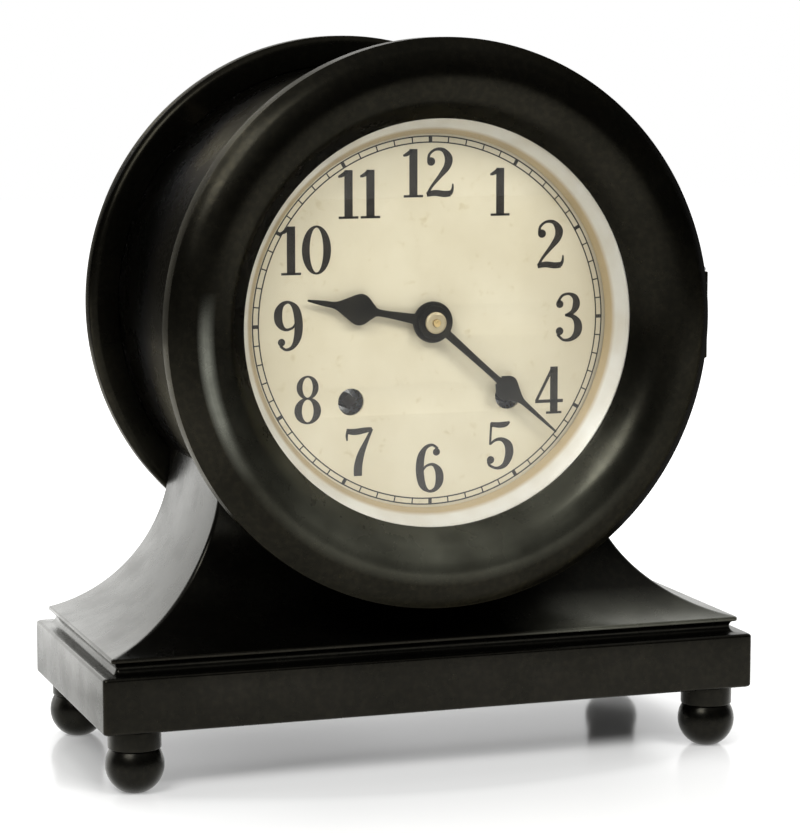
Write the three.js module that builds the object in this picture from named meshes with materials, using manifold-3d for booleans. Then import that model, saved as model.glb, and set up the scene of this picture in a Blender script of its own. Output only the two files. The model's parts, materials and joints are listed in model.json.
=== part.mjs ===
import * as THREE from "three";
import { mergeVertices } from "three/addons/utils/BufferGeometryUtils.js";
import Module from "manifold-3d";

const wasm = await Module();
wasm.setup();

// A ship's bell mantel clock. Millimetres; X to the right, Y to the back, Z up.
// The origin lies on the table, under the middle of the case.

// Case: a drum between two broad rings, the front one a hinged bezel.
const DIAL_OPENING = 78;
const BEZEL_WIDTH = 30.5;
const BEZEL_RADIUS = DIAL_OPENING + BEZEL_WIDTH;
const RING_RADIUS = BEZEL_RADIUS + 0.6;
const DRUM_RADIUS = BEZEL_RADIUS - 11.5;
const CASE_DEPTH = 143;
const CASE_AXIS = 175;
const WALL = 5;
const RING_THICKNESS = 12;

// Base: a plinth on four balls, and a saddle with hollow sides and front and an upright back.
const PLINTH_WIDTH = 265.75;
const PLINTH_DEPTH = 121.7;
const PLINTH_CENTRE = 2.2;
const PLINTH_BOTTOM = 24.5;
const PLINTH_HEIGHT = 21.8;
const COVE_HEIGHT = 4.6;
const COVE_DEPTH = 6.4;
const LIP_EDGE = 1.8;
const LIP_INSET = 4.4;
const SADDLE_TOP_WIDTH = 154;
const SADDLE_TOP_DEPTH = 78.4;
const SIDE_RISE = 62;
const FRONT_RISE = 42;
const BALL_RADIUS = 11.3;
const COLLAR = 10.2;
const FOOT_FLAT = 4;
const FOOT_FROM_END = 14.5;
const FOOT_FROM_FACE = 12;

// Dial, hands and movement.
const DIAL_SINK = 13.75;
const DIAL_SHEET = 1.5;
const PLATE = 3;
const PLATE_GAP = 33;
const MOTION_ROOM = 10.4;
const WINDING_X = 32;
const WINDING_Z = -30;
const WINDING_HOLE = 5.2;
const HOUR_HAND = 51;
const MINUTE_HAND = 67;
const MINUTES_SHOWN = 21.9;
const HOURS_SHOWN = 9 + MINUTES_SHOWN / 60;
const BELL_RADIUS = 43;

// Clearances: pieces that turn, pieces that seat, shafts in plain bores.
const RUN = 0.3;
const SEAT = 0.05;
const BORE = 0.4;

// The bore of a many-sided hole that clears a round shaft at any turn.
const clearBore = (r, sides) => r / Math.cos(Math.PI / sides) + SEAT;

// Depths, from the bezel's crest to the rear face.
const FRONT = -CASE_DEPTH / 2;
const BACK = CASE_DEPTH / 2;
const LIP = FRONT + 11.75;
const BEZEL_REAR = FRONT + 16.5;
const GLASS_FRONT = LIP + 1.2;
const GLASS_REAR = GLASS_FRONT + 2;
const DRUM_FRONT = BEZEL_REAR + RUN;
const DIAL_FACE = LIP + DIAL_SINK;
const DIAL_BACK = DIAL_FACE + DIAL_SHEET;
const LEDGE_FRONT = DIAL_BACK + SEAT;
const LEDGE_REAR = LEDGE_FRONT + MOTION_ROOM;
const FRONT_PLATE = LEDGE_REAR + SEAT;
const INNER_FRONT = FRONT_PLATE + PLATE;
const INNER_REAR = INNER_FRONT + PLATE_GAP;
const BACK_PLATE = INNER_REAR + PLATE;
const RING_FRONT = BACK - RING_THICKNESS;
const COVER_SEAT = BACK - 8.5;

// Radii inside the case.
const DRUM_BORE = DRUM_RADIUS - WALL;
const DIAL_RECESS = DRUM_RADIUS - 9;
const DIAL_RADIUS = DIAL_RECESS - 2;
const LEDGE_BORE = DIAL_RADIUS - 6;
const PLATE_RADIUS = DRUM_BORE - 6.8;
const REAR_LIP = PLATE_RADIUS + 0.8;
const COVER_RADIUS = DRUM_RADIUS - 3.8;
const GLASS_SEAT = DIAL_OPENING + 4.8;

const RIM_SIDES = 36;
const TURN = 2 * Math.PI;
const degrees = THREE.MathUtils.degToRad;

const finish = (color, roughness, metalness) => () =>
  new THREE.MeshStandardMaterial({ color, roughness, metalness });
const bronze = finish(0x1c1a16, 0.42, 0.85);
const brass = finish(0xb08d4a, 0.32, 0.95);
const steel = finish(0x8d9095, 0.3, 0.95);
const blackened = finish(0x15140f, 0.45, 0.6);
const cream = finish(0xded4b6, 0.55, 0.05);
const silvered = finish(0xcfc8b4, 0.3, 0.9);
const clear = finish(0xe8f0ee, 0.05, 0);
const spring = finish(0x4d5563, 0.3, 0.9);
const bellMetal = finish(0xb99552, 0.25, 0.95);

// A closed solid from a geometry, with slivers at an axis dropped.
function solid(geometry) {
  geometry.deleteAttribute("normal");
  geometry.deleteAttribute("uv");
  const merged = mergeVertices(geometry, 1e-4);
  const index = merged.index.array;
  const kept = [];
  for (let i = 0; i < index.length; i += 3) {
    const [a, b, c] = [index[i], index[i + 1], index[i + 2]];
    if (a !== b && b !== c && c !== a) kept.push(a, b, c);
  }
  const mesh = new wasm.Mesh({
    numProp: 3,
    vertProperties: merged.attributes.position.array,
    triVerts: new Uint32Array(kept),
  });
  return new wasm.Manifold(mesh);
}

const cut = (body, ...tools) => tools.reduce((left, tool) => left.subtract(tool), body);
const join = (body, ...more) => more.reduce((sum, piece) => sum.add(piece), body);

// Turned about the Y axis from [radius, y] points; an outline off the axis is closed.
function turned(points, sides) {
  const ring = points.map(([r, y]) => new THREE.Vector2(r, y));
  const area = THREE.ShapeUtils.area(ring);
  if (area < 0) ring.reverse();
  const onAxis = ring.some((p) => p.x === 0);
  if (onAxis) {
    while (!(ring[0].x === 0 && ring.at(-1).x === 0)) ring.push(ring.shift());
  } else {
    ring.push(ring[0].clone());
  }
  return solid(new THREE.LatheGeometry(ring, sides));
}

// A stepped shaft from [radius, y] ends in order; each radius holds up to its y.
function shaft(start, steps, sides = 10) {
  const points = [[0, start]];
  let y = start;
  for (const [r, end] of steps) {
    points.push([r, y], [r, end]);
    y = end;
  }
  points.push([0, y]);
  return turned(points, sides);
}

// A flat piece from an [x, z] outline and holes, standing between two depths.
function slab(outline, y0, y1, holes = []) {
  const shape = new THREE.Shape(outline.map(([x, z]) => new THREE.Vector2(x, z)));
  shape.holes = holes.map((hole) => new THREE.Path(hole.map(([x, z]) => new THREE.Vector2(x, z))));
  const geometry = new THREE.ExtrudeGeometry(shape, { depth: y1 - y0, bevelEnabled: false });
  geometry.rotateX(Math.PI / 2);
  geometry.translate(0, y1, 0);
  return solid(geometry);
}

const polar = (r, angle, [x, z] = [0, 0]) => [x + r * Math.cos(angle), z + r * Math.sin(angle)];

function circle(r, sides, centre = [0, 0]) {
  return Array.from({ length: sides }, (_, k) => polar(r, TURN / 4 + (TURN * k) / sides, centre));
}

function block(width, depth, height, [x, y, z]) {
  const geometry = new THREE.BoxGeometry(width, depth, height);
  geometry.translate(x, y, z);
  return solid(geometry);
}

const part = new THREE.Group();
part.name = "ships_bell_clock";
const head = new THREE.Group();
head.name = "head";
head.position.z = CASE_AXIS;
part.add(head);

// Hangs a finished solid in its group, at its own pivot.
function add(name, body, material, [x, y, z] = [0, 0, 0], parent = head) {
  const made = body.getMesh();
  const geometry = new THREE.BufferGeometry();
  geometry.setAttribute("position", new THREE.BufferAttribute(made.vertProperties, 3));
  geometry.setIndex(new THREE.BufferAttribute(made.triVerts, 1));
  geometry.computeVertexNormals();
  const mesh = new THREE.Mesh(geometry, material());
  mesh.name = name;
  mesh.position.set(x, y, z);
  parent.add(mesh);
  return mesh;
}

// Base

const COVE_TOP = PLINTH_BOTTOM + PLINTH_HEIGHT + COVE_HEIGHT;
const SADDLE_FOOT = COVE_TOP + LIP_EDGE;
const SADDLE_TOP = CASE_AXIS - Math.sqrt(DRUM_RADIUS ** 2 - (SADDLE_TOP_WIDTH / 2) ** 2) + 1;
const CRADLE = DRUM_RADIUS + RUN;
const CRADLE_WALL = 6;

// How far the sweep stands out at a height: a hollow arc that ends upright after its rise.
function sweep(z, foot, top, rise, wall) {
  const flare = foot - top;
  const radius = (rise ** 2 + flare ** 2) / (2 * flare);
  const drop = Math.min(Math.max(SADDLE_FOOT + rise - z, 0), radius + wall);
  return top + radius - Math.sqrt((radius + wall) ** 2 - drop ** 2);
}

// Rectangular sections stacked into one body; each is [z, half width, front y, back y].
function loft(sections) {
  const points = [];
  const faces = [];
  for (const [z, w, front, back] of sections) {
    points.push(-w, front, z, w, front, z, w, back, z, -w, back, z);
  }
  const top = 4 * (sections.length - 1);
  for (let low = 0; low < top; low += 4) {
    for (let k = 0; k < 4; k++) {
      const next = (k + 1) % 4;
      faces.push(low + k, low + next, low + 4 + next);
      faces.push(low + k, low + 4 + next, low + 4 + k);
    }
  }
  faces.push(0, 2, 1, 0, 3, 2);
  faces.push(top, top + 1, top + 2, top, top + 2, top + 3);
  const geometry = new THREE.BufferGeometry();
  geometry.setAttribute("position", new THREE.BufferAttribute(new Float32Array(points), 3));
  geometry.setIndex(faces);
  return solid(geometry);
}

const halfWidth = PLINTH_WIDTH / 2;
const halfDepth = PLINTH_DEPTH / 2;
const plinthTop = PLINTH_BOTTOM + PLINTH_HEIGHT;
const plinthFront = PLINTH_CENTRE - halfDepth;
const plinthBack = PLINTH_CENTRE + halfDepth;
const saddleInset = LIP_INSET + 0.5;
const saddleBack = plinthBack - saddleInset;
const saddleReach = PLINTH_DEPTH - 2 * saddleInset;
const SADDLE_MIDDLE = saddleBack - SADDLE_TOP_DEPTH / 2;
const SWEEP_STEPS = 10;

function saddleSections(wall, from, to) {
  return Array.from({ length: SWEEP_STEPS + 1 }, (_, k) => {
    const z = from + (to - from) * (k / SWEEP_STEPS) ** 2;
    const w = sweep(z, halfWidth - saddleInset, SADDLE_TOP_WIDTH / 2, SIDE_RISE, wall);
    const reach = sweep(z, saddleReach, SADDLE_TOP_DEPTH, FRONT_RISE, wall);
    return [z, w, saddleBack - reach, saddleBack - wall];
  });
}

const plinthSection = (z, inset) => [z, halfWidth - inset, plinthFront + inset, plinthBack - inset];
const outside = loft([
  plinthSection(PLINTH_BOTTOM, 1),
  plinthSection(PLINTH_BOTTOM + 1, 0),
  plinthSection(plinthTop - 1, 0),
  plinthSection(plinthTop, 1),
  plinthSection(plinthTop, COVE_DEPTH - 1),
  plinthSection(plinthTop + 1, COVE_DEPTH),
  plinthSection(plinthTop + COVE_HEIGHT / 2, COVE_DEPTH - 0.5),
  plinthSection(COVE_TOP, COVE_DEPTH - 1),
  plinthSection(COVE_TOP, LIP_INSET),
  ...saddleSections(0, SADDLE_FOOT, SADDLE_TOP + 0.5),
]);

const shelf = plinthTop - WALL;
const throat = COVE_DEPTH + WALL + 4;
const hollow = loft([
  plinthSection(PLINTH_BOTTOM - 1, WALL + 1),
  plinthSection(shelf, WALL + 1),
  plinthSection(shelf, throat),
  ...saddleSections(WALL, SADDLE_FOOT, SADDLE_TOP).map(([z, w, front, back]) => [
    z,
    Math.min(w, halfWidth - throat),
    Math.max(front, plinthFront + throat),
    Math.min(back, plinthBack - throat),
  ]),
]);

const drumSpace = (r) => {
  const cylinder = turned([[0, 2 * FRONT], [r, 2 * FRONT], [r, 2 * BACK], [0, 2 * BACK]], RIM_SIDES);
  return cylinder.translate([0, 0, CASE_AXIS]);
};

const footSpots = {
  front_left: [-1, -1],
  front_right: [1, -1],
  rear_left: [-1, 1],
  rear_right: [1, 1],
};
const footAt = ([sx, sy]) => [
  sx * (halfWidth - FOOT_FROM_END),
  PLINTH_CENTRE + sy * (halfDepth - FOOT_FROM_FACE),
  0,
];
const BOSS = 24;
const STUD = 3;
const STUD_TOP = PLINTH_BOTTOM + 11;
const bosses = Object.values(footSpots).map((spot) => {
  const [x, y] = footAt(spot);
  return block(BOSS, BOSS, 2 * PLINTH_HEIGHT, [x, y, plinthTop]);
});
const upright = (body) => body.rotate([90, 0, 0]);
const studHoles = Object.values(footSpots).map((spot) =>
  upright(shaft(0, [[STUD + BORE, STUD_TOP + 1]], 8)).translate(footAt(spot)),
);

// Two bolts hold the drum down in the saddle, square to its skin.
const BOLT_TILT = 16;
const BOLT = 3;
const boltTip = -DRUM_BORE - 0.6;
const boltSeat = -(CRADLE + CRADLE_WALL);
const boltHole = shaft(boltSeat - 2, [[BOLT + BORE, -DRUM_BORE + 2]], 8);
const boltPlace = (body, side) =>
  upright(body).rotate([0, side * BOLT_TILT, 0]).translate([0, SADDLE_MIDDLE, CASE_AXIS]);
const boltHoles = [-1, 1].map((side) => boltPlace(boltHole, side));

const cavity = cut(hollow, drumSpace(CRADLE + CRADLE_WALL), ...bosses);
const casting = cut(outside, drumSpace(CRADLE), cavity, ...studHoles, ...boltHoles);
add("base_casting", casting, bronze, [0, 0, 0], part);

// A ball foot: a small flat below, a broad collar above, and a stud into the plinth.
const ballCentre = Math.sqrt(BALL_RADIUS ** 2 - FOOT_FLAT ** 2);
const lowest = -Math.acos(FOOT_FLAT / BALL_RADIUS);
const highest = Math.acos(COLLAR / BALL_RADIUS);
const BALL_STEPS = 6;
const ballArc = Array.from({ length: BALL_STEPS + 1 }, (_, k) => {
  const angle = lowest + ((highest - lowest) * k) / BALL_STEPS;
  return [BALL_RADIUS * Math.cos(angle), ballCentre + BALL_RADIUS * Math.sin(angle)];
});
ballArc[0] = [FOOT_FLAT, 0];
const footTop = PLINTH_BOTTOM - SEAT;
const footOutline = [
  [0, 0],
  ...ballArc,
  [COLLAR, footTop],
  [STUD, footTop],
  [STUD, STUD_TOP],
  [0, STUD_TOP],
];
for (const [spot, signs] of Object.entries(footSpots)) {
  const mesh = add(`foot_${spot}`, turned(footOutline, 12), bronze, footAt(signs), part);
  mesh.rotation.x = Math.PI / 2;
}

const boltOutline = join(
  shaft(boltSeat - 4, [[BOLT, boltTip]], 8),
  turned([[0, boltSeat - 5], [5.5, boltSeat - 5], [5.5, boltSeat - RUN], [0, boltSeat - RUN]], 6),
);
for (const [name, side] of [["left", 1], ["right", -1]]) {
  const tilt = new THREE.Group();
  tilt.position.set(0, SADDLE_MIDDLE, 0);
  tilt.rotation.y = degrees(side * BOLT_TILT);
  head.add(tilt);
  add(`case_bolt_${name}`, boltOutline, steel, [0, 0, 0], tilt).rotation.x = Math.PI / 2;
}

// Case

const drumOutline = [
  [DIAL_RECESS, DRUM_FRONT],
  [DRUM_RADIUS, DRUM_FRONT],
  [DRUM_RADIUS, BACK],
  [COVER_RADIUS + RUN, BACK],
  [COVER_RADIUS + RUN, COVER_SEAT],
  [REAR_LIP, COVER_SEAT],
  [REAR_LIP, COVER_SEAT - 4],
  [DRUM_BORE, COVER_SEAT - 4],
  [DRUM_BORE, LEDGE_REAR],
  [LEDGE_BORE, LEDGE_REAR],
  [LEDGE_BORE, LEDGE_FRONT],
  [DIAL_RECESS, LEDGE_FRONT],
];
const COVER_SCREWS = 3;
const coverScrewAt = (k) => polar((REAR_LIP + COVER_RADIUS) / 2, degrees(90) + (TURN * k) / COVER_SCREWS);
const SCREW = 1;
const screwHoles = Array.from({ length: COVER_SCREWS }, (_, k) => {
  const [x, z] = coverScrewAt(k);
  return shaft(COVER_SEAT - 4, [[SCREW + BORE, COVER_SEAT + 4]], 6).translate([x, 0, z]);
});

const MOVEMENT_SCREWS = [60, 180, 300];
const movementScrewAt = (angle) => polar((LEDGE_BORE + PLATE_RADIUS) / 2, degrees(angle));
const movementHoles = MOVEMENT_SCREWS.map((angle) => {
  const [x, z] = movementScrewAt(angle);
  return shaft(LEDGE_REAR - 5, [[SCREW + BORE, INNER_FRONT + 1]], 6).translate([x, 0, z]);
});

const caseBoltHoles = boltHoles.map((hole) => hole.translate([0, 0, -CASE_AXIS]));
add(
  "case_drum",
  cut(turned(drumOutline, RIM_SIDES), ...caseBoltHoles, ...screwHoles, ...movementHoles),
  bronze,
);

// The broad ring shrunk on the drum's rear end.
const rearRingOutline = [
  [DRUM_RADIUS + SEAT, RING_FRONT],
  [RING_RADIUS - 2.4, RING_FRONT],
  [RING_RADIUS, RING_FRONT + 2.6],
  [RING_RADIUS, BACK - 2.8],
  [RING_RADIUS - 2.6, BACK],
  [DRUM_RADIUS + SEAT, BACK],
];
add("rear_ring", turned(rearRingOutline, RIM_SIDES), bronze);

// The spun back cover: a flat rim, a step, and a shallow raised middle.
const SHEET = 1.6;
const coverLine = [
  [0, 3.4],
  [COVER_RADIUS * 0.74, 3],
  [COVER_RADIUS * 0.8, 0],
  [COVER_RADIUS, 0],
];
const coverBottom = coverLine.map(([r, rise]) => [r, COVER_SEAT + SEAT + rise]);
const coverTop = coverLine.map(([r, rise]) => {
  const outer = r > 0 && r < COVER_RADIUS ? r + 1 : r;
  return [outer, COVER_SEAT + SEAT + SHEET + rise];
});
const cover = turned([...coverBottom, ...coverTop.reverse()], RIM_SIDES);
add("back_cover", cut(cover, ...screwHoles), bronze);

const screwHead = (top, tip) =>
  shaft(top, [[1.9, top + Math.sign(tip - top) * 1.4], [SCREW, tip]], 6);
for (let k = 0; k < COVER_SCREWS; k++) {
  const [x, z] = coverScrewAt(k);
  const under = COVER_SEAT + 2 * SEAT + SHEET;
  add(`back_cover_screw_${k + 1}`, screwHead(under + 1.4, COVER_SEAT - 3), steel, [x, 0, z]);
}
MOVEMENT_SCREWS.forEach((angle, k) => {
  const [x, z] = movementScrewAt(angle);
  add(`movement_screw_${k + 1}`, screwHead(INNER_FRONT + SEAT + 1.4, LEDGE_REAR - 4), steel, [x, 0, z]);
});

// Bezel: a swelling face between the thin lip and the rounded rim.
const face = new THREE.SplineCurve(
  [
    [DIAL_OPENING, LIP],
    [DIAL_OPENING + 0.25 * BEZEL_WIDTH, FRONT + 3.2],
    [DIAL_OPENING + 0.54 * BEZEL_WIDTH, FRONT],
    [BEZEL_RADIUS - 5.2, FRONT + 2.4],
    [BEZEL_RADIUS, FRONT + 6.4],
  ].map(([r, y]) => new THREE.Vector2(r, y)),
);
const bezelOutline = [
  ...face.getPoints(8).map((p) => [p.x, p.y]),
  [BEZEL_RADIUS, BEZEL_REAR - 2.6],
  [BEZEL_RADIUS - 1.8, BEZEL_REAR],
  [GLASS_SEAT, BEZEL_REAR],
  [GLASS_SEAT, GLASS_FRONT],
  [DIAL_OPENING, GLASS_FRONT],
];
add("bezel", turned(bezelOutline, RIM_SIDES), bronze);

const glassOutline = [
  [0, GLASS_FRONT + SEAT],
  [GLASS_SEAT - RUN, GLASS_FRONT + SEAT],
  [GLASS_SEAT - RUN, GLASS_REAR],
  [0, GLASS_REAR],
];
add("glass", turned(glassOutline, RIM_SIDES), clear);

// The sight ring clamps the glass and slopes in, back to just short of the dial.
const RING_SLOPE = 6.4;
const ringOutline = [
  [DIAL_OPENING + 0.3, GLASS_REAR + SEAT],
  [GLASS_SEAT - RUN, GLASS_REAR + SEAT],
  [DIAL_OPENING - RING_SLOPE + 2.6, DIAL_FACE - 1.2],
  [DIAL_OPENING - RING_SLOPE, DIAL_FACE - 1.2],
];
add("sight_ring", turned(ringOutline, RIM_SIDES), silvered);

// The bezel's hinge, upright at three o'clock, behind the rim.
const HINGE_X = BEZEL_RADIUS + 1.5;
const HINGE_Y = BEZEL_REAR + 1;
const KNUCKLE = 3;
const PIN = 1.4;
const HINGE_REACH = 17;
const MIDDLE_REACH = 7;
const knuckle = (r, z0, z1) => upright(shaft(z0, [[r, z1]], 10)).translate([HINGE_X, HINGE_Y, 0]);
const pinHole = knuckle(PIN + 0.25, -HINGE_REACH - 3, HINGE_REACH + 3);
const middleRoom = knuckle(KNUCKLE + 0.5, -MIDDLE_REACH - RUN, MIDDLE_REACH + RUN);

const leafRear = BEZEL_REAR + SEAT;
const spine = block(HINGE_X - DRUM_RADIUS - 1.5, 1.4, 2 * HINGE_REACH, [
  (HINGE_X + DRUM_RADIUS + 1.5) / 2,
  leafRear + 0.7,
  0,
]);
const upperKnuckle = knuckle(KNUCKLE, MIDDLE_REACH + RUN, HINGE_REACH);
const lowerKnuckle = knuckle(KNUCKLE, -HINGE_REACH, -MIDDLE_REACH - RUN);
const rimRoom = turned(
  [
    [GLASS_SEAT, FRONT],
    [BEZEL_RADIUS + RUN, FRONT],
    [BEZEL_RADIUS + RUN, leafRear],
    [GLASS_SEAT, leafRear],
  ],
  RIM_SIDES,
);
const bezelLeaf = join(spine, upperKnuckle, lowerKnuckle);
add("hinge_leaf_bezel", cut(bezelLeaf, middleRoom, rimRoom, pinHole), bronze);

const webFront = leafRear + 1.4 + RUN;
const web = block(HINGE_X - DRUM_RADIUS + 4, 2.2, 2 * MIDDLE_REACH, [
  (HINGE_X + DRUM_RADIUS - 4) / 2,
  webFront + 1.1,
  0,
]);
const caseTab = block(8, 9, 2 * MIDDLE_REACH, [DRUM_RADIUS - 0.5, webFront + 4.5, 0]);
const skin = turned(
  [[0, FRONT], [DRUM_RADIUS + SEAT, FRONT], [DRUM_RADIUS + SEAT, BACK], [0, BACK]],
  RIM_SIDES,
);
const caseLeaf = join(web, caseTab, knuckle(KNUCKLE, -MIDDLE_REACH, MIDDLE_REACH));
add("hinge_leaf_case", cut(caseLeaf, skin, pinHole, rimRoom), bronze);

const pinShank = knuckle(PIN, -HINGE_REACH - 1, HINGE_REACH + 2);
const pinHead = knuckle(2.2, HINGE_REACH + 0.4, HINGE_REACH + 2);
add("hinge_pin", join(pinShank, pinHead), steel);

// Dial and hands

const dialHoles = [
  circle(5.2, 12),
  circle(WINDING_HOLE, 12, [WINDING_X, WINDING_Z]),
  circle(WINDING_HOLE, 12, [-WINDING_X, WINDING_Z]),
];
add("dial", slab(circle(DIAL_RADIUS, RIM_SIDES), DIAL_FACE, DIAL_BACK, dialHoles), cream);

const HAND = 0.9;
const HOUR_LEVEL = DIAL_FACE - 3.5;
const MINUTE_LEVEL = HOUR_LEVEL - 2.1;
const CANNON_PIPE = 2.7;
const HOUR_PIPE = 4.2;
const PIPE_SIDES = 10;

// A spade hand pointing to twelve: boss, slim shaft, a leaf-shaped spade, a needle tip.
function hand(length, boss, bore, stem, [spadeAt, spadeWidth], y0) {
  const right = [
    [stem, boss * 0.9],
    [stem * 0.8, spadeAt - spadeWidth * 1.15],
    [spadeWidth * 0.75, spadeAt - spadeWidth * 0.7],
    [spadeWidth, spadeAt],
    [spadeWidth * 0.6, spadeAt + spadeWidth * 0.75],
    [stem * 0.75, spadeAt + spadeWidth * 1.6],
    [0.35, length],
  ];
  const left = right.map(([x, z]) => [-x, z]).reverse();
  const blade = slab([...right, ...left], y0, y0 + HAND);
  const ring = slab(circle(boss, 16), y0, y0 + HAND);
  return cut(join(blade, ring), slab(circle(bore, PIPE_SIDES), y0 - 1, y0 + HAND + 1));
}
const hourAngle = degrees(HOURS_SHOWN * 30);
const minuteAngle = degrees(MINUTES_SHOWN * 6);
const hourSpade = [0.6 * HOUR_HAND, 0.115 * HOUR_HAND];
const minuteSpade = [0.6 * MINUTE_HAND, 0.072 * MINUTE_HAND];
const hourHandBore = clearBore(HOUR_PIPE, PIPE_SIDES);
const minuteHandBore = clearBore(CANNON_PIPE, PIPE_SIDES);
const hourHand = hand(HOUR_HAND, 8, hourHandBore, 1.7, hourSpade, HOUR_LEVEL);
const minuteHand = hand(MINUTE_HAND, 6.5, minuteHandBore, 1.5, minuteSpade, MINUTE_LEVEL);
add("hour_hand", hourHand, blackened).rotation.y = hourAngle;
add("minute_hand", minuteHand, blackened).rotation.y = minuteAngle;

// Teeth

// Wheel teeth are pointed, pinion leaves have flat tips; widths are parts of one pitch.
const WHEEL_TOOTH = { addendum: 0.85, dedendum: 1.15, root: 0.62, tip: 0 };
const FINE_TOOTH = { addendum: 0.85, dedendum: 1.7, root: 1, tip: 0 };
const PINION_LEAF = { addendum: 0.75, dedendum: 1.15, root: 0.46, tip: 0.2 };

function teeth(count, module, phase, form) {
  const pitch = (count * module) / 2;
  const tip = pitch + form.addendum * module;
  const root = pitch - form.dedendum * module;
  const step = TURN / count;
  const points = [];
  for (let k = 0; k < count; k++) {
    const middle = phase + k * step;
    points.push(polar(root, middle - (form.root * step) / 2));
    points.push(polar(tip, middle - (form.tip * step) / 2));
    if (form.tip > 0) points.push(polar(tip, middle + (form.tip * step) / 2));
    if (form.root < 1) points.push(polar(root, middle + (form.root * step) / 2));
  }
  return points;
}

// The phase that puts a gap of the second wheel on a tooth of the first.
function meshPhase(from, fromCount, fromPhase, to, toCount) {
  const line = Math.atan2(to[1] - from[1], to[0] - from[0]);
  const turns = ((line - fromPhase) * fromCount) / TURN;
  return line + Math.PI - (TURN / toCount) * (0.5 - turns);
}

const ahead = (from, distance, angle) => polar(distance, degrees(angle), from);
const apart = (module, a, b) => (module * (a + b)) / 2;

// Four windows between the rim, the hub and the spokes of a crossed-out wheel.
function windows(hub, rim, spoke) {
  return [0, 1, 2, 3].map((k) => {
    const middle = (TURN * (k + 0.5)) / 4;
    const inner = TURN / 8 - Math.asin(spoke / hub / 2);
    const outer = TURN / 8 - Math.asin(spoke / rim / 2);
    return [
      polar(hub, middle + inner),
      polar(hub, middle - inner),
      polar(rim, middle - outer),
      polar(rim, middle),
      polar(rim, middle + outer),
    ];
  });
}

function crossedWheel(count, module, phase, y0, y1, rim = 2) {
  const root = (count * module) / 2 - FINE_TOOTH.dedendum * module;
  return slab(teeth(count, module, phase, FINE_TOOTH), y0, y1, windows(5.2, root - rim, 2.2));
}

const pinion = (count, module, phase, y0, y1) => slab(teeth(count, module, phase, PINION_LEAF), y0, y1);

// Train layout, seen from the front, about the hands' centre.
const GREAT = 36;
const CENTRE_PINION = 6;
const CENTRE = 48;
const THIRD = 45;
const FOURTH = 48;
const LEAVES = 6;
const ESCAPE = 15;
const FINE = 0.8;
const FINER = 0.65;

const centre = [0, 0];
const timeBarrel = [WINDING_X, WINDING_Z];
const strikeBarrel = [-WINDING_X, WINDING_Z];
const reach = Math.hypot(WINDING_X, WINDING_Z);
const COARSE = (2 * reach) / (GREAT + CENTRE_PINION);
const third = ahead(centre, apart(FINE, CENTRE, LEAVES), 60);
const fourth = ahead(third, apart(FINE, THIRD, LEAVES), 15);
const escape = ahead(fourth, apart(FINER, FOURTH, LEAVES), 125);
const PALLET_REACH = 13;
const pallet = ahead(escape, PALLET_REACH, 180);
const BALANCE_REACH = 15.5;
const balance = ahead(pallet, BALANCE_REACH, 180);
const pinWheel = ahead(strikeBarrel, reach, 107);
const locking = ahead(pinWheel, apart(FINE, CENTRE, LEAVES), 50);
const fly = ahead(locking, apart(FINE, THIRD, LEAVES), 80);
const hammer = [pinWheel[0] - 21, pinWheel[1] - 16];
const MOTION_REACH = 16;
const minuteStud = ahead(centre, MOTION_REACH, 120);

// Levels between the plates, front to back.
const level = (share) => INNER_FRONT + share * PLATE_GAP;
const PIVOT = 0.9;
const frontPivot = FRONT_PLATE + 0.6;
const rearPivot = BACK_PLATE - 0.6;
const SHAKE = 0.35;

// A pivoted arbor between the plates.
function arbor(radius) {
  const front = INNER_FRONT + SHAKE;
  const rear = INNER_REAR - SHAKE;
  return shaft(frontPivot, [[PIVOT, front], [radius, rear], [PIVOT, rearPivot]], 6);
}

const pivotTurn = ([x, z]) => [x, 0, z];

// Time train

const BARREL = 23;
const BARREL_SIDES = 16;
const greatFront = [level(0.045), level(0.135)];
const greatRear = [level(0.865), level(0.955)];
const CORE = 5;
const ARBOR = 3;

// A spring barrel with its great wheel at one end, open at the other.
function barrel(phase, great, mouth) {
  const floor = mouth > great[0] ? great[1] : great[0];
  const cup = turned(
    [
      [ARBOR + BORE, great[0]],
      [BARREL, great[0]],
      [BARREL, great[1]],
      [ARBOR + BORE, great[1]],
    ],
    BARREL_SIDES,
  );
  const wall = turned(
    [
      [BARREL - 2, floor],
      [BARREL, floor],
      [BARREL, mouth],
      [BARREL - 2, mouth],
    ],
    BARREL_SIDES,
  );
  const outline = teeth(GREAT, COARSE, phase, WHEEL_TOOTH);
  const rim = slab(outline, great[0], great[1], [circle(BARREL - 1, BARREL_SIDES)]);
  return join(rim, cup, wall);
}

const timeGreatPhase = 0;
const centrePinionPhase = meshPhase(timeBarrel, GREAT, timeGreatPhase, centre, CENTRE_PINION);
add("time_barrel", barrel(timeGreatPhase, greatFront, level(0.74)), brass, pivotTurn(timeBarrel));
const strikeGreatPhase = 0;
add("strike_barrel", barrel(strikeGreatPhase, greatRear, level(0.26)), brass, pivotTurn(strikeBarrel));

// A coiled mainspring, from near the arbor out to the barrel's wall.
function spiral(inner, outer, turns, sides, thick, y0, y1) {
  const count = turns * sides;
  const path = (offset) =>
    Array.from({ length: count + 1 }, (_, k) =>
      polar(inner + ((outer - inner) * k) / count + offset, (TURN * k) / sides),
    );
  return slab([...path(thick / 2), ...path(-thick / 2).reverse()], y0, y1);
}
const coil = (y0, y1) => spiral(CORE + 2, BARREL - 3, 4, 8, 0.7, y0, y1);
add("time_mainspring", coil(level(0.2), level(0.68)), spring, pivotTurn(timeBarrel));
add("strike_mainspring", coil(level(0.32), level(0.8)), spring, pivotTurn(strikeBarrel));

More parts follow.
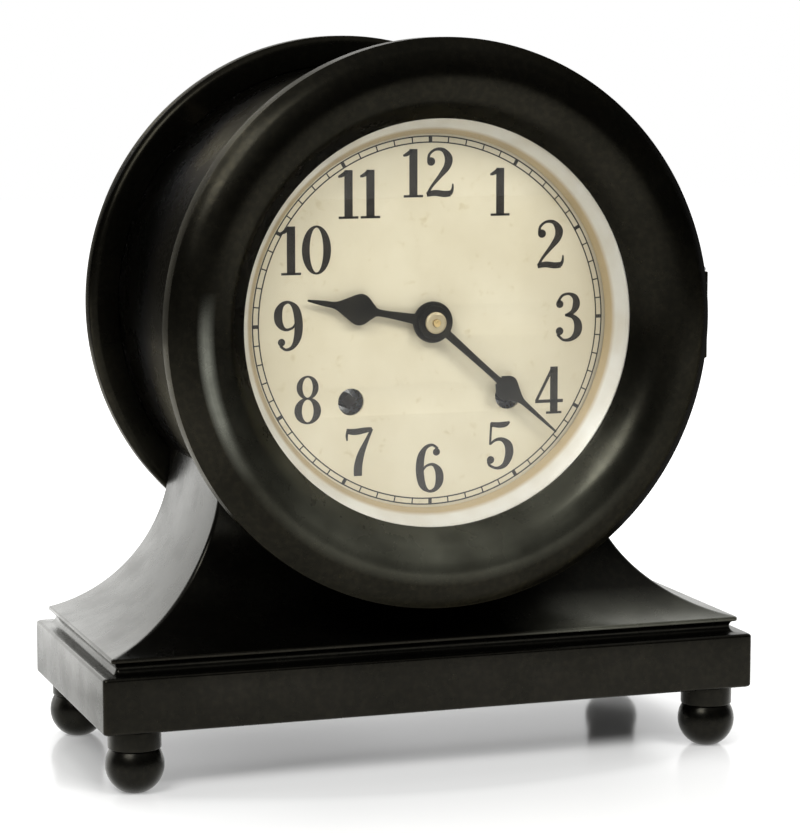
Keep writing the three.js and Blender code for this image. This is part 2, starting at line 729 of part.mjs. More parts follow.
// Winding arbors: a core in the barrel, a journal through the plate, a square for the key.
const RATCHET = 9.5;
const ratchetFront = FRONT_PLATE - 2.9;
const ratchetRear = FRONT_PLATE - 0.6;
const squareFront = DIAL_BACK + 1;
function windingArbor(core) {
  const body = shaft(
    ratchetFront - 0.4,
    [
      [ARBOR, core[0]],
      [CORE, core[1]],
      [ARBOR, INNER_REAR - SHAKE],
      [1.6, rearPivot],
    ],
    8,
  );
  return join(body, slab(circle(3.1, 4), squareFront, ratchetFront - 0.2));
}
add("time_winding_arbor", windingArbor([greatFront[1] + RUN, level(0.7)]), steel, pivotTurn(timeBarrel));
add("strike_winding_arbor", windingArbor([level(0.3), greatRear[0] - RUN]), steel, pivotTurn(strikeBarrel));

const RATCHET_TEETH = 14;
const saw = Array.from({ length: 2 * RATCHET_TEETH }, (_, k) =>
  polar(k % 2 ? RATCHET : RATCHET - 1.7, (TURN * (k + (k % 2 ? 0.75 : 0))) / (2 * RATCHET_TEETH)),
);
const ratchet = slab(saw, ratchetFront, ratchetRear, [circle(ARBOR + SEAT, 8)]);
add("time_ratchet", ratchet, steel, pivotTurn(timeBarrel));
add("strike_ratchet", ratchet, steel, pivotTurn(strikeBarrel));

// Each click swings on a stud of the front plate, its nose just clear of the teeth.
const CLICK_REACH = 15;
const CLICK_STUD = 1.3;
const clickAngle = { time: -25, strike: 170 };
const clickAt = (side, from) => ahead(from, CLICK_REACH, clickAngle[side]);
function click(side, from) {
  const at = clickAt(side, from);
  const nose = ahead(from, RATCHET + 0.45, clickAngle[side] + 36);
  const heel = ahead(from, RATCHET + 3.4, clickAngle[side] + 30);
  const local = ([x, z]) => [x - at[0], z - at[1]];
  const along = degrees(clickAngle[side]);
  const body = slab(
    [local(nose), local(heel), polar(2.6, along + degrees(70)), polar(2.6, along - degrees(150))],
    ratchetFront,
    ratchetRear,
  );
  const eye = slab(circle(3, 10), ratchetFront, ratchetRear);
  return cut(join(body, eye), slab(circle(CLICK_STUD + BORE, 8), ratchetFront - 1, ratchetRear + 1));
}
add("time_click", click("time", timeBarrel), steel, pivotTurn(clickAt("time", timeBarrel)));
add("strike_click", click("strike", strikeBarrel), steel, pivotTurn(clickAt("strike", strikeBarrel)));

// Centre arbor, out through the dial; third and fourth arbors.
const centrePhase = 0;
const centreArbor = shaft(
  MINUTE_LEVEL - 2.6,
  [
    [1.5, INNER_FRONT + SHAKE],
    [2.2, INNER_REAR - SHAKE],
    [PIVOT, rearPivot],
  ],
  10,
);
add(
  "centre_wheel",
  join(
    centreArbor,
    pinion(CENTRE_PINION, COARSE, centrePinionPhase, level(0.03), level(0.15)),
    crossedWheel(CENTRE, FINE, centrePhase, level(0.23), level(0.275)),
  ),
  brass,
);

const thirdPinionPhase = meshPhase(centre, CENTRE, centrePhase, third, LEAVES);
const thirdPhase = 0;
add(
  "third_wheel",
  join(
    arbor(1.4),
    pinion(LEAVES, FINE, thirdPinionPhase, level(0.2), level(0.31)),
    crossedWheel(THIRD, FINE, thirdPhase, level(0.38), level(0.425)),
  ),
  brass,
  pivotTurn(third),
);

const fourthPinionPhase = meshPhase(third, THIRD, thirdPhase, fourth, LEAVES);
const fourthPhase = 0;
add(
  "fourth_wheel",
  join(
    arbor(1.4),
    pinion(LEAVES, FINE, fourthPinionPhase, level(0.35), level(0.46)),
    crossedWheel(FOURTH, FINER, fourthPhase, level(0.56), level(0.605)),
  ),
  brass,
  pivotTurn(fourth),
);

// Escapement, behind the back plate under its own bridge.
const LEVER_LEVEL = BACK_PLATE + 3;
const BALANCE_LEVEL = BACK_PLATE + 8;
const BRIDGE_FRONT = BACK_PLATE + 17;
const BRIDGE_REAR = BRIDGE_FRONT + 3;
const ESCAPE_RADIUS = 9.5;
const escapePinionPhase = meshPhase(fourth, FOURTH, fourthPhase, escape, LEAVES);
const escapeTeeth = [];
for (let k = 0; k < ESCAPE; k++) {
  const start = (TURN * k) / ESCAPE;
  escapeTeeth.push(polar(ESCAPE_RADIUS - 2.6, start), polar(ESCAPE_RADIUS, start + TURN / ESCAPE / 2.2));
  escapeTeeth.push(polar(ESCAPE_RADIUS - 0.3, start + TURN / ESCAPE / 1.6));
}
const escapeArbor = shaft(
  frontPivot,
  [
    [PIVOT, INNER_FRONT + SHAKE],
    [1.1, BRIDGE_FRONT - SHAKE],
    [PIVOT, BRIDGE_REAR - 0.6],
  ],
  6,
);
add(
  "escape_wheel",
  join(
    escapeArbor,
    pinion(LEAVES, FINER, escapePinionPhase, level(0.52), level(0.64)),
    slab(escapeTeeth, LEVER_LEVEL, LEVER_LEVEL + 1.4),
  ),
  brass,
  pivotTurn(escape),
);

const palletSpread = degrees(32);
const palletAt = (side, r) => polar(r, Math.PI + side * palletSpread, [PALLET_REACH, 0]);
const leverOutline = [
  palletAt(-1, ESCAPE_RADIUS + 1.3),
  palletAt(-1, ESCAPE_RADIUS + 3.2),
  [-1.6, 2.2],
  [-5, 0.9],
  [-BALANCE_REACH + 4.6, 1.7],
  [-BALANCE_REACH + 3.6, 1.7],
  [-BALANCE_REACH + 4.2, 0],
  [-BALANCE_REACH + 3.6, -1.7],
  [-BALANCE_REACH + 4.6, -1.7],
  [-5, -0.9],
  [-1.6, -2.2],
  palletAt(1, ESCAPE_RADIUS + 3.2),
  palletAt(1, ESCAPE_RADIUS + 1.3),
  [1.6, 0],
];
const staff = shaft(
  INNER_REAR + 1,
  [
    [PIVOT, BACK_PLATE + SHAKE],
    [1.2, BRIDGE_FRONT - SHAKE],
    [PIVOT, BRIDGE_REAR - 0.6],
  ],
  6,
);
const lever = slab(leverOutline, LEVER_LEVEL, LEVER_LEVEL + 1.4);
add("pallet_lever", join(lever, staff), steel, pivotTurn(pallet));

const BALANCE_RADIUS = 13;
const balanceInside = circle(BALANCE_RADIUS - 2, 20);
const balanceRim = slab(circle(BALANCE_RADIUS, 20), BALANCE_LEVEL, BALANCE_LEVEL + 2.4, [balanceInside]);
const balanceArm = block(2 * BALANCE_RADIUS - 2, 1.2, 2.2, [0, BALANCE_LEVEL + 1.2, 0]);
const roller = slab(circle(2.9, 8), LEVER_LEVEL + 1.9, LEVER_LEVEL + 2.9);
const impulsePin = shaft(LEVER_LEVEL, [[0.5, LEVER_LEVEL + 2.2]], 6).translate([2.2, 0, 0]);
const balanceBody = join(staff, balanceRim, balanceArm, roller, impulsePin);
add("balance_wheel", balanceBody, brass, pivotTurn(balance));

const HAIRSPRING = 9;
const hairLevel = BALANCE_LEVEL + 5;
const hairCoil = spiral(2.2, HAIRSPRING, 4, 8, 0.4, hairLevel, hairLevel + 0.9);
const hairStud = shaft(hairLevel, [[0.7, BRIDGE_FRONT - SEAT]], 8).translate([HAIRSPRING, 0, 0]);
add("hairspring", join(hairCoil, hairStud), spring, pivotTurn(balance));

// The bridge: one bar on two posts, with the rear pivots of the escapement.
const postLeft = ahead(balance, BALANCE_RADIUS + 5, 180);
const postRight = ahead(escape, ESCAPE_RADIUS + 5, 0);
const POST = 3.4;
const hole = (at, r, y0, y1) => shaft(y0, [[r, y1]], 6).translate(pivotTurn(at));
const bar = slab(
  [
    [postLeft[0] - 4, postLeft[1] - 4.5],
    [postRight[0] + 4, postRight[1] - 4.5],
    [postRight[0] + 4, postRight[1] + 4.5],
    [postLeft[0] - 4, postLeft[1] + 4.5],
  ],
  BRIDGE_FRONT,
  BRIDGE_REAR,
);
const post = shaft(BACK_PLATE + SEAT, [[POST, BRIDGE_FRONT + 1]], 8);
const posts = [postLeft, postRight].map((at) => post.translate(pivotTurn(at)));
const bridgeHoles = [escape, pallet, balance].map((at) =>
  hole(at, PIVOT + BORE, BRIDGE_FRONT - 1, BRIDGE_REAR + 1),
);
add("escapement_bridge", cut(join(bar, ...posts), ...bridgeHoles), brass);

// Motion work under the dial: the cannon pinion turns the hour wheel once in twelve turns.
const CANNON = 8;
const MINUTE_WHEEL = 24;
const MINUTE_LEAVES = 6;
const HOUR_WHEEL = 24;
const MOTION_A = (2 * MOTION_REACH) / (CANNON + MINUTE_WHEEL);
const MOTION_B = (2 * MOTION_REACH) / (MINUTE_LEAVES + HOUR_WHEEL);
const motionRear = [FRONT_PLATE - 2.9, FRONT_PLATE - 1.1];
const motionFront = [FRONT_PLATE - 6.7, FRONT_PLATE - 5.1];
const pipe = (bore, r, y0, y1) => turned([[bore, y0], [r, y0], [r, y1], [bore, y1]], PIPE_SIDES);
const cannonPhase = 0;
const cannonBore = 1.5 + BORE;
const cannonRear = FRONT_PLATE - 0.5;
const cannonTeeth = teeth(CANNON, MOTION_A, cannonPhase, PINION_LEAF);
const cannonLeaves = slab(cannonTeeth, motionRear[0] - 0.4, cannonRear, [
  circle(cannonBore + 0.2, PIPE_SIDES),
]);
const cannonPipe = pipe(cannonBore, CANNON_PIPE, MINUTE_LEVEL - 0.1, cannonRear);
add("cannon_pinion", join(cannonPipe, cannonLeaves), steel);

const STUD_PIN = 1.1;
const minutePhase = meshPhase(centre, CANNON, cannonPhase, minuteStud, MINUTE_WHEEL);
const minuteLeafPhase = 0;
const studBore = circle(STUD_PIN + BORE, 10);
const minuteTeeth = teeth(MINUTE_WHEEL, MOTION_A, minutePhase, WHEEL_TOOTH);
const minuteLeaves = teeth(MINUTE_LEAVES, MOTION_B, minuteLeafPhase, PINION_LEAF);
add(
  "minute_wheel",
  join(
    slab(minuteTeeth, ...motionRear, [studBore]),
    slab(minuteLeaves, motionFront[0] - 0.4, motionRear[0] + 0.4, [studBore]),
  ),
  brass,
  pivotTurn(minuteStud),
);

const hourPhase = meshPhase(minuteStud, MINUTE_LEAVES, minuteLeafPhase, centre, HOUR_WHEEL);
const hourBore = CANNON_PIPE + BORE + 0.1;
const hourTeeth = teeth(HOUR_WHEEL, MOTION_B, hourPhase, WHEEL_TOOTH);
add(
  "hour_wheel",
  join(
    slab(hourTeeth, ...motionFront, [circle(hourBore + 0.2, PIPE_SIDES)]),
    pipe(hourBore, HOUR_PIPE, HOUR_LEVEL - 0.1, motionFront[1]),
  ),
  brass,
);

add(
  "hand_nut",
  slab(circle(3.6, 6), MINUTE_LEVEL - 1.9, MINUTE_LEVEL - 0.5, [circle(1.5 + SEAT, 10)]),
  brass,
);

// Strike train: the pin wheel lifts the hammer, the locking wheel stops it, the fly slows it.
const pinPinionPhase = meshPhase(strikeBarrel, GREAT, strikeGreatPhase, pinWheel, LEAVES);
const pinPhase = 0;
const PINS = 6;
const PIN_CIRCLE = 13;
const PIN_RADIUS = 0.8;
const pinLevel = [level(0.66), level(0.705)];
const liftingPins = Array.from({ length: PINS }, (_, k) => {
  const [x, z] = polar(PIN_CIRCLE, (TURN * (k + 0.5)) / PINS);
  return shaft(pinLevel[1] - 0.5, [[PIN_RADIUS, pinLevel[1] + 3]], 5).translate([x, 0, z]);
});
add(
  "strike_pin_wheel",
  join(
    arbor(1.4),
    pinion(LEAVES, COARSE, pinPinionPhase, level(0.85), level(0.97)),
    crossedWheel(CENTRE, FINE, pinPhase, ...pinLevel, 6.2),
    ...liftingPins,
  ),
  brass,
  pivotTurn(pinWheel),
);

const lockingPinionPhase = meshPhase(pinWheel, CENTRE, pinPhase, locking, LEAVES);
const lockingPhase = 0;
add(
  "strike_locking_wheel",
  join(
    arbor(1.4),
    pinion(LEAVES, FINE, lockingPinionPhase, level(0.63), level(0.74)),
    crossedWheel(THIRD, FINE, lockingPhase, level(0.45), level(0.495)),
  ),
  brass,
  pivotTurn(locking),
);

const flyPinionPhase = meshPhase(locking, THIRD, lockingPhase, fly, LEAVES);
add(
  "strike_fly",
  join(
    arbor(1.4),
    pinion(LEAVES, FINE, flyPinionPhase, level(0.42), level(0.53)),
    block(19, 0.27 * PLATE_GAP, 1, [0, level(0.75), 0]),
  ),
  brass,
  pivotTurn(fly),
);

// Bell on its post behind the movement, and the hammer that reaches round to its rim.
const bellAt = [0, -22];
const BELL_MOUTH = BACK_PLATE + 15;
const COVER_ROOM = 11;
const BELL_HEIGHT = COVER_SEAT - COVER_ROOM - BELL_MOUTH;
const BELL_WALL = 2;
const BELL_HOLE = 2.7;
const bellTop = BELL_MOUTH + BELL_HEIGHT;
const bellCurve = new THREE.SplineCurve(
  [
    [BELL_RADIUS, BELL_MOUTH],
    [BELL_RADIUS * 0.94, BELL_MOUTH + 0.3 * BELL_HEIGHT],
    [BELL_RADIUS * 0.8, BELL_MOUTH + 0.74 * BELL_HEIGHT],
    [BELL_RADIUS * 0.3, bellTop],
  ].map(([r, y]) => new THREE.Vector2(r, y)),
);
const bellOuter = [...bellCurve.getPoints(5).map((p) => [p.x, p.y]), [BELL_HOLE, bellTop]];
const bellInner = bellOuter.map(([r, y], k) => {
  const thinned = k === bellOuter.length - 1 ? r : r - BELL_WALL;
  return [thinned, k === 0 ? y : y - BELL_WALL];
});
add("bell", turned([...bellOuter, ...bellInner.reverse()], 18), bellMetal, pivotTurn(bellAt));
const TENON = 2;
const bellSeat = bellTop - BELL_WALL - SEAT;
add(
  "bell_post",
  shaft(
    INNER_REAR + 0.4,
    [
      [TENON, BACK_PLATE + SEAT],
      [4.5, BACK_PLATE + 3],
      [3.2, bellSeat - 3],
      [5, bellSeat],
      [BELL_HOLE - 0.3, bellTop + 5],
    ],
    6,
  ),
  brass,
  pivotTurn(bellAt),
);
const bellNut = slab(circle(5.5, 6), bellTop + SEAT, bellTop + 3.6, [circle(BELL_HOLE - 0.2, 6)]);
add("bell_nut", bellNut, brass, pivotTurn(bellAt));

const HAMMER_HEAD = 4;
const HAMMER_REST = 0.8;
const hammerLevel = [BELL_MOUTH + 1, BELL_MOUTH + 4];
const toBell = [bellAt[0] - hammer[0], bellAt[1] - hammer[1]];
const bellReach = Math.hypot(...toBell);
const strikeReach = BELL_RADIUS + HAMMER_HEAD + HAMMER_REST;
const armLength = Math.sqrt(bellReach ** 2 - strikeReach ** 2);
const armAngle = Math.atan2(toBell[1], toBell[0]) - Math.acos(armLength / bellReach);

// A straight arm from the hammer's pivot, out to a length and an angle.
function arm(length, width, angle, y0, y1) {
  const corners = [
    [0, -width / 2],
    [length, -width / 2],
    [length, width / 2],
    [0, width / 2],
  ];
  return slab(corners.map(([x, z]) => polar(Math.hypot(x, z), Math.atan2(z, x) + angle)), y0, y1);
}
const headOutline = circle(HAMMER_HEAD, 10, polar(armLength, armAngle));
const hammerHead = slab(headOutline, hammerLevel[0] - 2, hammerLevel[1] + 2);
const toPins = [pinWheel[0] - hammer[0], pinWheel[1] - hammer[1]];
const tailLength = Math.hypot(...toPins) - PIN_CIRCLE - PIN_RADIUS - 0.5;
const tailAngle = Math.atan2(toPins[1], toPins[0]);
const tail = arm(tailLength, 2.4, tailAngle, pinLevel[1] + 0.6, pinLevel[1] + 2.6);
add(
  "hammer",
  join(
    shaft(frontPivot, [[PIVOT, INNER_FRONT + SHAKE], [1.6, hammerLevel[1]]], 8),
    arm(armLength, 3, armAngle, ...hammerLevel),
    hammerHead,
    tail,
  ),
  steel,
  pivotTurn(hammer),
);

// Plates, drilled for every pivot, and the pillars that part them.
const pillarAt = (angle) => polar(PLATE_RADIUS - 5, degrees(angle));
const pillarSpots = { top: pillarAt(90), bottom: pillarAt(270), left: pillarAt(160), right: pillarAt(20) };
const throughPlate = (at, r, y) => hole(at, r, y - 1, y + PLATE + 1);
const pivots = [third, fourth, pinWheel, locking, fly];
const frontHoles = [
  ...[...pivots, escape, hammer].map((at) => throughPlate(at, PIVOT + BORE, FRONT_PLATE)),
  throughPlate(centre, 1.5 + BORE, FRONT_PLATE),
  ...[timeBarrel, strikeBarrel].map((at) => throughPlate(at, ARBOR + 2 * BORE, FRONT_PLATE)),
  ...Object.values(pillarSpots).map((at) => throughPlate(at, TENON + SEAT, FRONT_PLATE)),
];
const studs = [
  shaft(FRONT_PLATE + 1, [[STUD_PIN, motionFront[0] - 0.8]], 8).translate(pivotTurn(minuteStud)),
  ...[clickAt("time", timeBarrel), clickAt("strike", strikeBarrel)].map((at) =>
    shaft(FRONT_PLATE + 1, [[CLICK_STUD, ratchetFront - 0.3]], 8).translate(pivotTurn(at)),
  ),
];
const frontDisc = slab(circle(PLATE_RADIUS, 28), FRONT_PLATE, INNER_FRONT);
add("front_plate", join(cut(frontDisc, ...frontHoles, ...movementHoles), ...studs), brass);

const backHoles = [
  ...[...pivots, centre, pallet, balance].map((at) => throughPlate(at, PIVOT + BORE, INNER_REAR)),
  throughPlate(escape, 1.1 + BORE, INNER_REAR),
  throughPlate(hammer, 1.6 + BORE, INNER_REAR),
  ...[timeBarrel, strikeBarrel].map((at) => throughPlate(at, 1.6 + BORE, INNER_REAR)),
  ...Object.values(pillarSpots).map((at) => throughPlate(at, TENON + SEAT, INNER_REAR)),
  throughPlate(bellAt, TENON + SEAT, INNER_REAR),
];
add("back_plate", cut(slab(circle(PLATE_RADIUS, 28), INNER_REAR, BACK_PLATE), ...backHoles), brass);

const pillar = shaft(
  frontPivot,
  [
    [TENON, INNER_FRONT + SEAT],
    [3.4, INNER_REAR - SEAT],
    [TENON, rearPivot],
  ],
  6,
);
for (const [spot, at] of Object.entries(pillarSpots)) {
  add(`pillar_${spot}`, pillar, brass, pivotTurn(at));
}

export default part;
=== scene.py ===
import json
import math

import bmesh
import bpy
from mathutils import Matrix, Vector


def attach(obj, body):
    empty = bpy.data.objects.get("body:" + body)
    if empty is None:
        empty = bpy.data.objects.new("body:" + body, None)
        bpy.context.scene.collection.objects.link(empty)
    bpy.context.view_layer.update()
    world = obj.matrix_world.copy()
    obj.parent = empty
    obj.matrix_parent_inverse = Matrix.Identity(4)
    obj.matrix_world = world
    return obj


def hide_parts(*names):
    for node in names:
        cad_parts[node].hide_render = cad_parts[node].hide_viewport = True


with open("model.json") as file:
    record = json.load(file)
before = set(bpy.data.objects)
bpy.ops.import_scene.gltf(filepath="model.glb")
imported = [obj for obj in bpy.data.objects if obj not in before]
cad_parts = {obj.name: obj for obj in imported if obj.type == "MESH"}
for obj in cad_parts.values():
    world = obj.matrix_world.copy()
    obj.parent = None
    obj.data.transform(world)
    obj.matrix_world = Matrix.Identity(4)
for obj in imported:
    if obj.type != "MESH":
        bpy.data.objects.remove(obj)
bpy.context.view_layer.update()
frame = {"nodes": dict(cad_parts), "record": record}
scene = bpy.context.scene
nodes = frame["nodes"]

# Shapes are written in millimetres and turned into metres as meshes are made.
MM = 0.001
TURN = 2 * math.pi
AXIS = 175.0
SLIP = 0.05  # between pieces that touch
PLAY = 0.3  # round pieces that drop in

# Case
DIAL_OPENING = 78.0
BEZEL_WIDTH = 30.5
BEZEL_RADIUS = DIAL_OPENING + BEZEL_WIDTH
RING_RADIUS = BEZEL_RADIUS + 0.6
DRUM_RADIUS = BEZEL_RADIUS - 11.5
FRONT, BACK = -71.5, 71.5
LIP = FRONT + 11.75
BEZEL_REAR = FRONT + 16.5
GLASS_FRONT = LIP + 1.2
GLASS_REAR = GLASS_FRONT + 2
DRUM_FRONT = BEZEL_REAR + PLAY
DIAL_THICKNESS = 1.5
DIAL_FACE = LIP + 13.75
DIAL_BACK = DIAL_FACE + DIAL_THICKNESS
LEDGE_FRONT = DIAL_BACK + SLIP
LEDGE_REAR = LEDGE_FRONT + 10.4
RING_FRONT = BACK - 12
COVER_SEAT = BACK - 8.5
DRUM_BORE = DRUM_RADIUS - 5
DIAL_RECESS = DRUM_RADIUS - 9
DIAL_RADIUS = DIAL_RECESS - 2
LEDGE_BORE = DIAL_RADIUS - 6
REAR_LIP = DRUM_BORE - 6
REAR_LIP_FRONT = COVER_SEAT - 4
COVER_RADIUS = DRUM_RADIUS - 3.8
COVER_SHEET = 1.6
GLASS_SEAT = DIAL_OPENING + 4.8
GLASS_FLAT = GLASS_SEAT - 1
GLASS_RADIUS = GLASS_SEAT - PLAY

# Base
HALF_WIDTH = 265.75 / 2
PLINTH_DEPTH = 121.7
PLINTH_CENTRE = 2.2
PLINTH_FRONT = PLINTH_CENTRE - PLINTH_DEPTH / 2
PLINTH_BACK = PLINTH_CENTRE + PLINTH_DEPTH / 2
PLINTH_BOTTOM = 24.5
PLINTH_TOP = PLINTH_BOTTOM + 21.8
PLINTH_EDGE = 1.3
PLINTH_WALL = 6
PLINTH_SHELF = PLINTH_TOP - 5
COVE_HEIGHT = 4.6
COVE_TOP = PLINTH_TOP + COVE_HEIGHT
COVE_HOLLOW = 2
COVE_LEAN = 0.05
COVE_STEPS = 8
THROAT = 15.4
LIP_INSET = 4.4
LIP_OUT = LIP_INSET - 0.1
LIP_EDGE = 0.5
SADDLE_FOOT = COVE_TOP + 1.8
SADDLE_HALF = 77.0
SADDLE_TOP = AXIS - math.sqrt(DRUM_RADIUS ** 2 - SADDLE_HALF ** 2) + 1
SADDLE_DEPTH = 78.4
SADDLE_INSET = LIP_INSET + 0.5
SADDLE_BACK = PLINTH_BACK - SADDLE_INSET
SADDLE_WALL = 5
SIDE_RISE = 62.0
FRONT_RISE = 42.0
CRADLE = DRUM_RADIUS + PLAY
CRADLE_WALL = 6
BOSS = 12
BOSS_LOW, BOSS_HIGH = 10, 80
FOOT_X = HALF_WIDTH - 14.5
FOOT_Y = PLINTH_DEPTH / 2 - 12
FEET = {
    f"{end}_{side}": (sx * FOOT_X, PLINTH_CENTRE + sy * FOOT_Y)
    for side, sx in (("left", -1), ("right", 1))
    for end, sy in (("front", -1), ("rear", 1))
}

# Dial
HOUR_LEVEL = DIAL_FACE - 3.5
MINUTE_LEVEL = HOUR_LEVEL - 2.1
MINUTES = 21.9
HOURS = 9 + MINUTES / 60
KEY_HOLE = 5.2
WINDING = ((32, -30), (-32, -30))
INK_FRONT = DIAL_FACE - 0.06
INK_REAR = DIAL_FACE + 0.03
NUMERAL_RADIUS = 57.0
NUMERAL_HEIGHT = 18.6
DIGIT_OFFSETS = {10: (-0.34, 0.2), 11: (-0.235, 0.235), 12: (-0.37, 0.2)}
TRACK = (68.7, 71.0)
THIN_LINE, THICK_LINE = 0.25, 0.7  # half widths
HAND_THICKNESS = 0.9
HAND_BEVEL = 0.22


# Materials

class Graph:
    """A node tree under construction."""

    def __init__(self, tree):
        self.tree = tree

    def join(self, value, socket):
        """Links an output to an input, or sets a plain value on it."""
        if isinstance(value, bpy.types.NodeSocket):
            self.tree.links.new(value, socket)
        elif socket.type == "RGBA":
            socket.default_value = (*value, 1)
        else:
            socket.default_value = value

    def add(self, kind, **sockets):
        """A node with its inputs by name, an underscore for each space."""
        node = self.tree.nodes.new("ShaderNode" + kind)
        for key, value in sockets.items():
            self.join(value, node.inputs[key.replace("_", " ")])
        return node

    def combine(self, operation, a, b):
        node = self.add("Math")
        node.operation = operation
        self.join(a, node.inputs[0])
        self.join(b, node.inputs[1])
        return node.outputs[0]

    def times(self, a, b):
        return self.combine("MULTIPLY", a, b)

    def plus(self, a, b):
        return self.combine("ADD", a, b)

    def larger(self, a, b):
        return self.combine("MAXIMUM", a, b)

    def grey(self, value, low, high, start=0.3, end=0.7, curve="LINEAR"):
        """From low to high while the value goes from start to end."""
        node = self.add("MapRange", Value=value, From_Min=start, From_Max=end,
                        To_Min=low, To_Max=high)
        node.interpolation_type = curve
        return node.outputs["Result"]

    def smooth(self, value, start, end, low, high):
        return self.grey(value, low, high, start, end, "SMOOTHSTEP")

    def place(self):
        return self.add("TexCoord").outputs["Object"]

    def axes(self):
        return self.add("SeparateXYZ", Vector=self.place()).outputs

    def distance(self, stretch, shift=(0, 0, 0)):
        """How far a place lies from the origin, once stretched and shifted."""
        moved = self.add("Mapping", Vector=self.place(), Location=shift, Scale=stretch)
        node = self.add("VectorMath", Vector=moved.outputs["Vector"])
        node.operation = "LENGTH"
        return node.outputs["Value"]


class Finish(Graph):
    """A material with its Principled shader."""

    def __init__(self, name, **sockets):
        self.material = bpy.data.materials.new(name)
        self.material.use_nodes = True
        super().__init__(self.material.node_tree)
        self.shader = self.tree.nodes["Principled BSDF"]
        for key, value in sockets.items():
            self.link(value, key.replace("_", " "))

    def link(self, value, name):
        self.join(value, self.shader.inputs[name])

    def radius(self):
        """Distance from the axis of the dial."""
        return self.distance((1, 0, 1), (0, 0, -AXIS * MM))

    def rise(self, value, start, end, low=0.0, high=1.0):
        """From low to high between two places in millimetres."""
        return self.grey(value, low, high, start * MM, end * MM)

    def noise(self, scale, detail, stretch=(1, 1, 1)):
        moved = self.add("Mapping", Vector=self.place(), Scale=stretch)
        node = self.add("TexNoise", Vector=moved.outputs["Vector"], Scale=scale, Detail=detail,
                        Roughness=0.55)
        return node.outputs["Fac"]

    def ramp(self, value, *stops):
        """A colour between two stops, each a place on the scale and its colour."""
        node = self.add("ValToRGB", Fac=value)
        for element, (at, colour) in zip(node.color_ramp.elements, stops):
            element.position = at
            element.color = (*colour, 1)
        return node.outputs["Color"]

    def mix(self, factor, a, b, blend="MIX"):
        node = self.add("Mix")
        node.data_type = "RGBA"
        node.blend_type = blend
        for value, index in ((factor, 0), (a, 6), (b, 7)):
            self.join(value, node.inputs[index])
        return node.outputs[2]

    def bump(self, height, depth, strength):
        """Fine relief, its depth in millimetres."""
        node = self.add("Bump", Height=height, Distance=depth * MM, Strength=strength)
        self.link(node.outputs["Normal"], "Normal")


def bezel_hollow(m):
    """Painted sheen low in the hollow inside the crest of the bezel, less towards the right."""
    axes = m.axes()
    low = m.rise(axes["Z"], AXIS - 92, AXIS - 5, 1.0, 0.0)
    inside = m.rise(m.radius(), 90, 99, 1.0, 0.0)
    right = m.rise(axes["X"], 40, 78, 1.0, 0.3)
    return m.times(m.times(low, inside), right)


def bezel_crest(m):
    """Painted highlight along the crest of the bezel, low on its left."""
    axes = m.axes()
    radius = m.radius()
    left = m.rise(axes["X"], -88, -66, 1.0, 0.0)
    left = m.times(left, m.rise(axes["Z"], AXIS - 4, AXIS + 16, 1.0, 0.0))
    left = m.times(left, m.rise(axes["Z"], AXIS - 56, AXIS - 26))
    ridge = m.times(m.rise(radius, 92.2, 95.0), m.rise(radius, 96.5, 99.2, 1.0, 0.0))
    return m.times(left, ridge)


def base_ledge(m):
    """Painted sheen on the flat foot of the saddle along the right of the front."""
    axes = m.axes()
    flat = m.rise(axes["Z"], SADDLE_FOOT + 1, SADDLE_FOOT + 11, 1.0, 0.0)
    right = m.rise(axes["X"], 30, 62)
    return m.times(m.times(flat, right), m.rise(axes["Z"], COVE_TOP, COVE_TOP + 1))


METAL, DULL_METAL = 0.92, 0.35
WORN_EDGE = (0.055, 0.046, 0.030)
# Painted sheen, olive grey, for the bezel's hollow and the right of the saddle's front foot.
PAINTED_SHEEN = (0.092, 0.093, 0.071)
# Painted highlight, pale grey, along the left of the bezel's crest.
CREST_HIGHLIGHT = (0.185, 0.190, 0.160)


def bronze(name, dark, light, rough, rim, *painted_sheens):
    """Dark patinated bronze: brown-black in soft clouds, fine cast grain, edges a little lighter.

    Each painted sheen is a dull patch of painted highlight: its place, its colour, and the scale
    and least strength of the clouds in it."""
    m = Finish(name, Metallic=METAL, IOR=1.5, Specular_Tint=rim)
    cloud = m.ramp(m.noise(18, 5), (0.30, dark), (0.75, light))
    speck = m.ramp(m.noise(420, 3), (0.42, (0.78, 0.78, 0.78)), (0.72, (1.12, 1.09, 1.03)))
    colour = m.mix(1.0, cloud, speck, "MULTIPLY")
    edge = m.add("NewGeometry").outputs["Pointiness"]
    colour = m.mix(m.grey(edge, 0.0, 0.4, 0.52, 0.62), colour, WORN_EDGE)
    dull = None
    # Patches of painted highlight, each dulling the metal where it lies
    for where, tone, scale, least in painted_sheens:
        patch = m.times(where(m), m.grey(m.noise(scale, 5), least, 1.0))
        colour = m.mix(patch, colour, tone)
        dull = patch if dull is None else m.larger(dull, patch)
    if dull is not None:
        m.link(m.grey(dull, METAL, DULL_METAL, 0.0, 1.0), "Metallic")
    m.link(colour, "Base Color")
    m.link(m.grey(m.noise(60, 5), rough - 0.04, rough + 0.07), "Roughness")
    m.bump(m.noise(900, 2), depth=0.04, strength=0.3)
    return m.material


def turned(m, low, high):
    """Faint turning marks, in the polish and in the relief."""
    m.link(m.grey(m.noise(300, 3, (1, 6, 1)), low, high), "Roughness")
    m.bump(m.noise(1600, 2, (1, 0.1, 1)), depth=0.02, strength=0.3)
    return m.material


def brass(name, colour, tarnish, rough, metal=1.0):
    """Turned brass with tarnish in clouds."""
    m = Finish(name, Metallic=metal)
    m.link(m.ramp(m.noise(70, 6), (0.35, tarnish), (0.65, colour)), "Base Color")
    return turned(m, rough - 0.06, rough + 0.12)


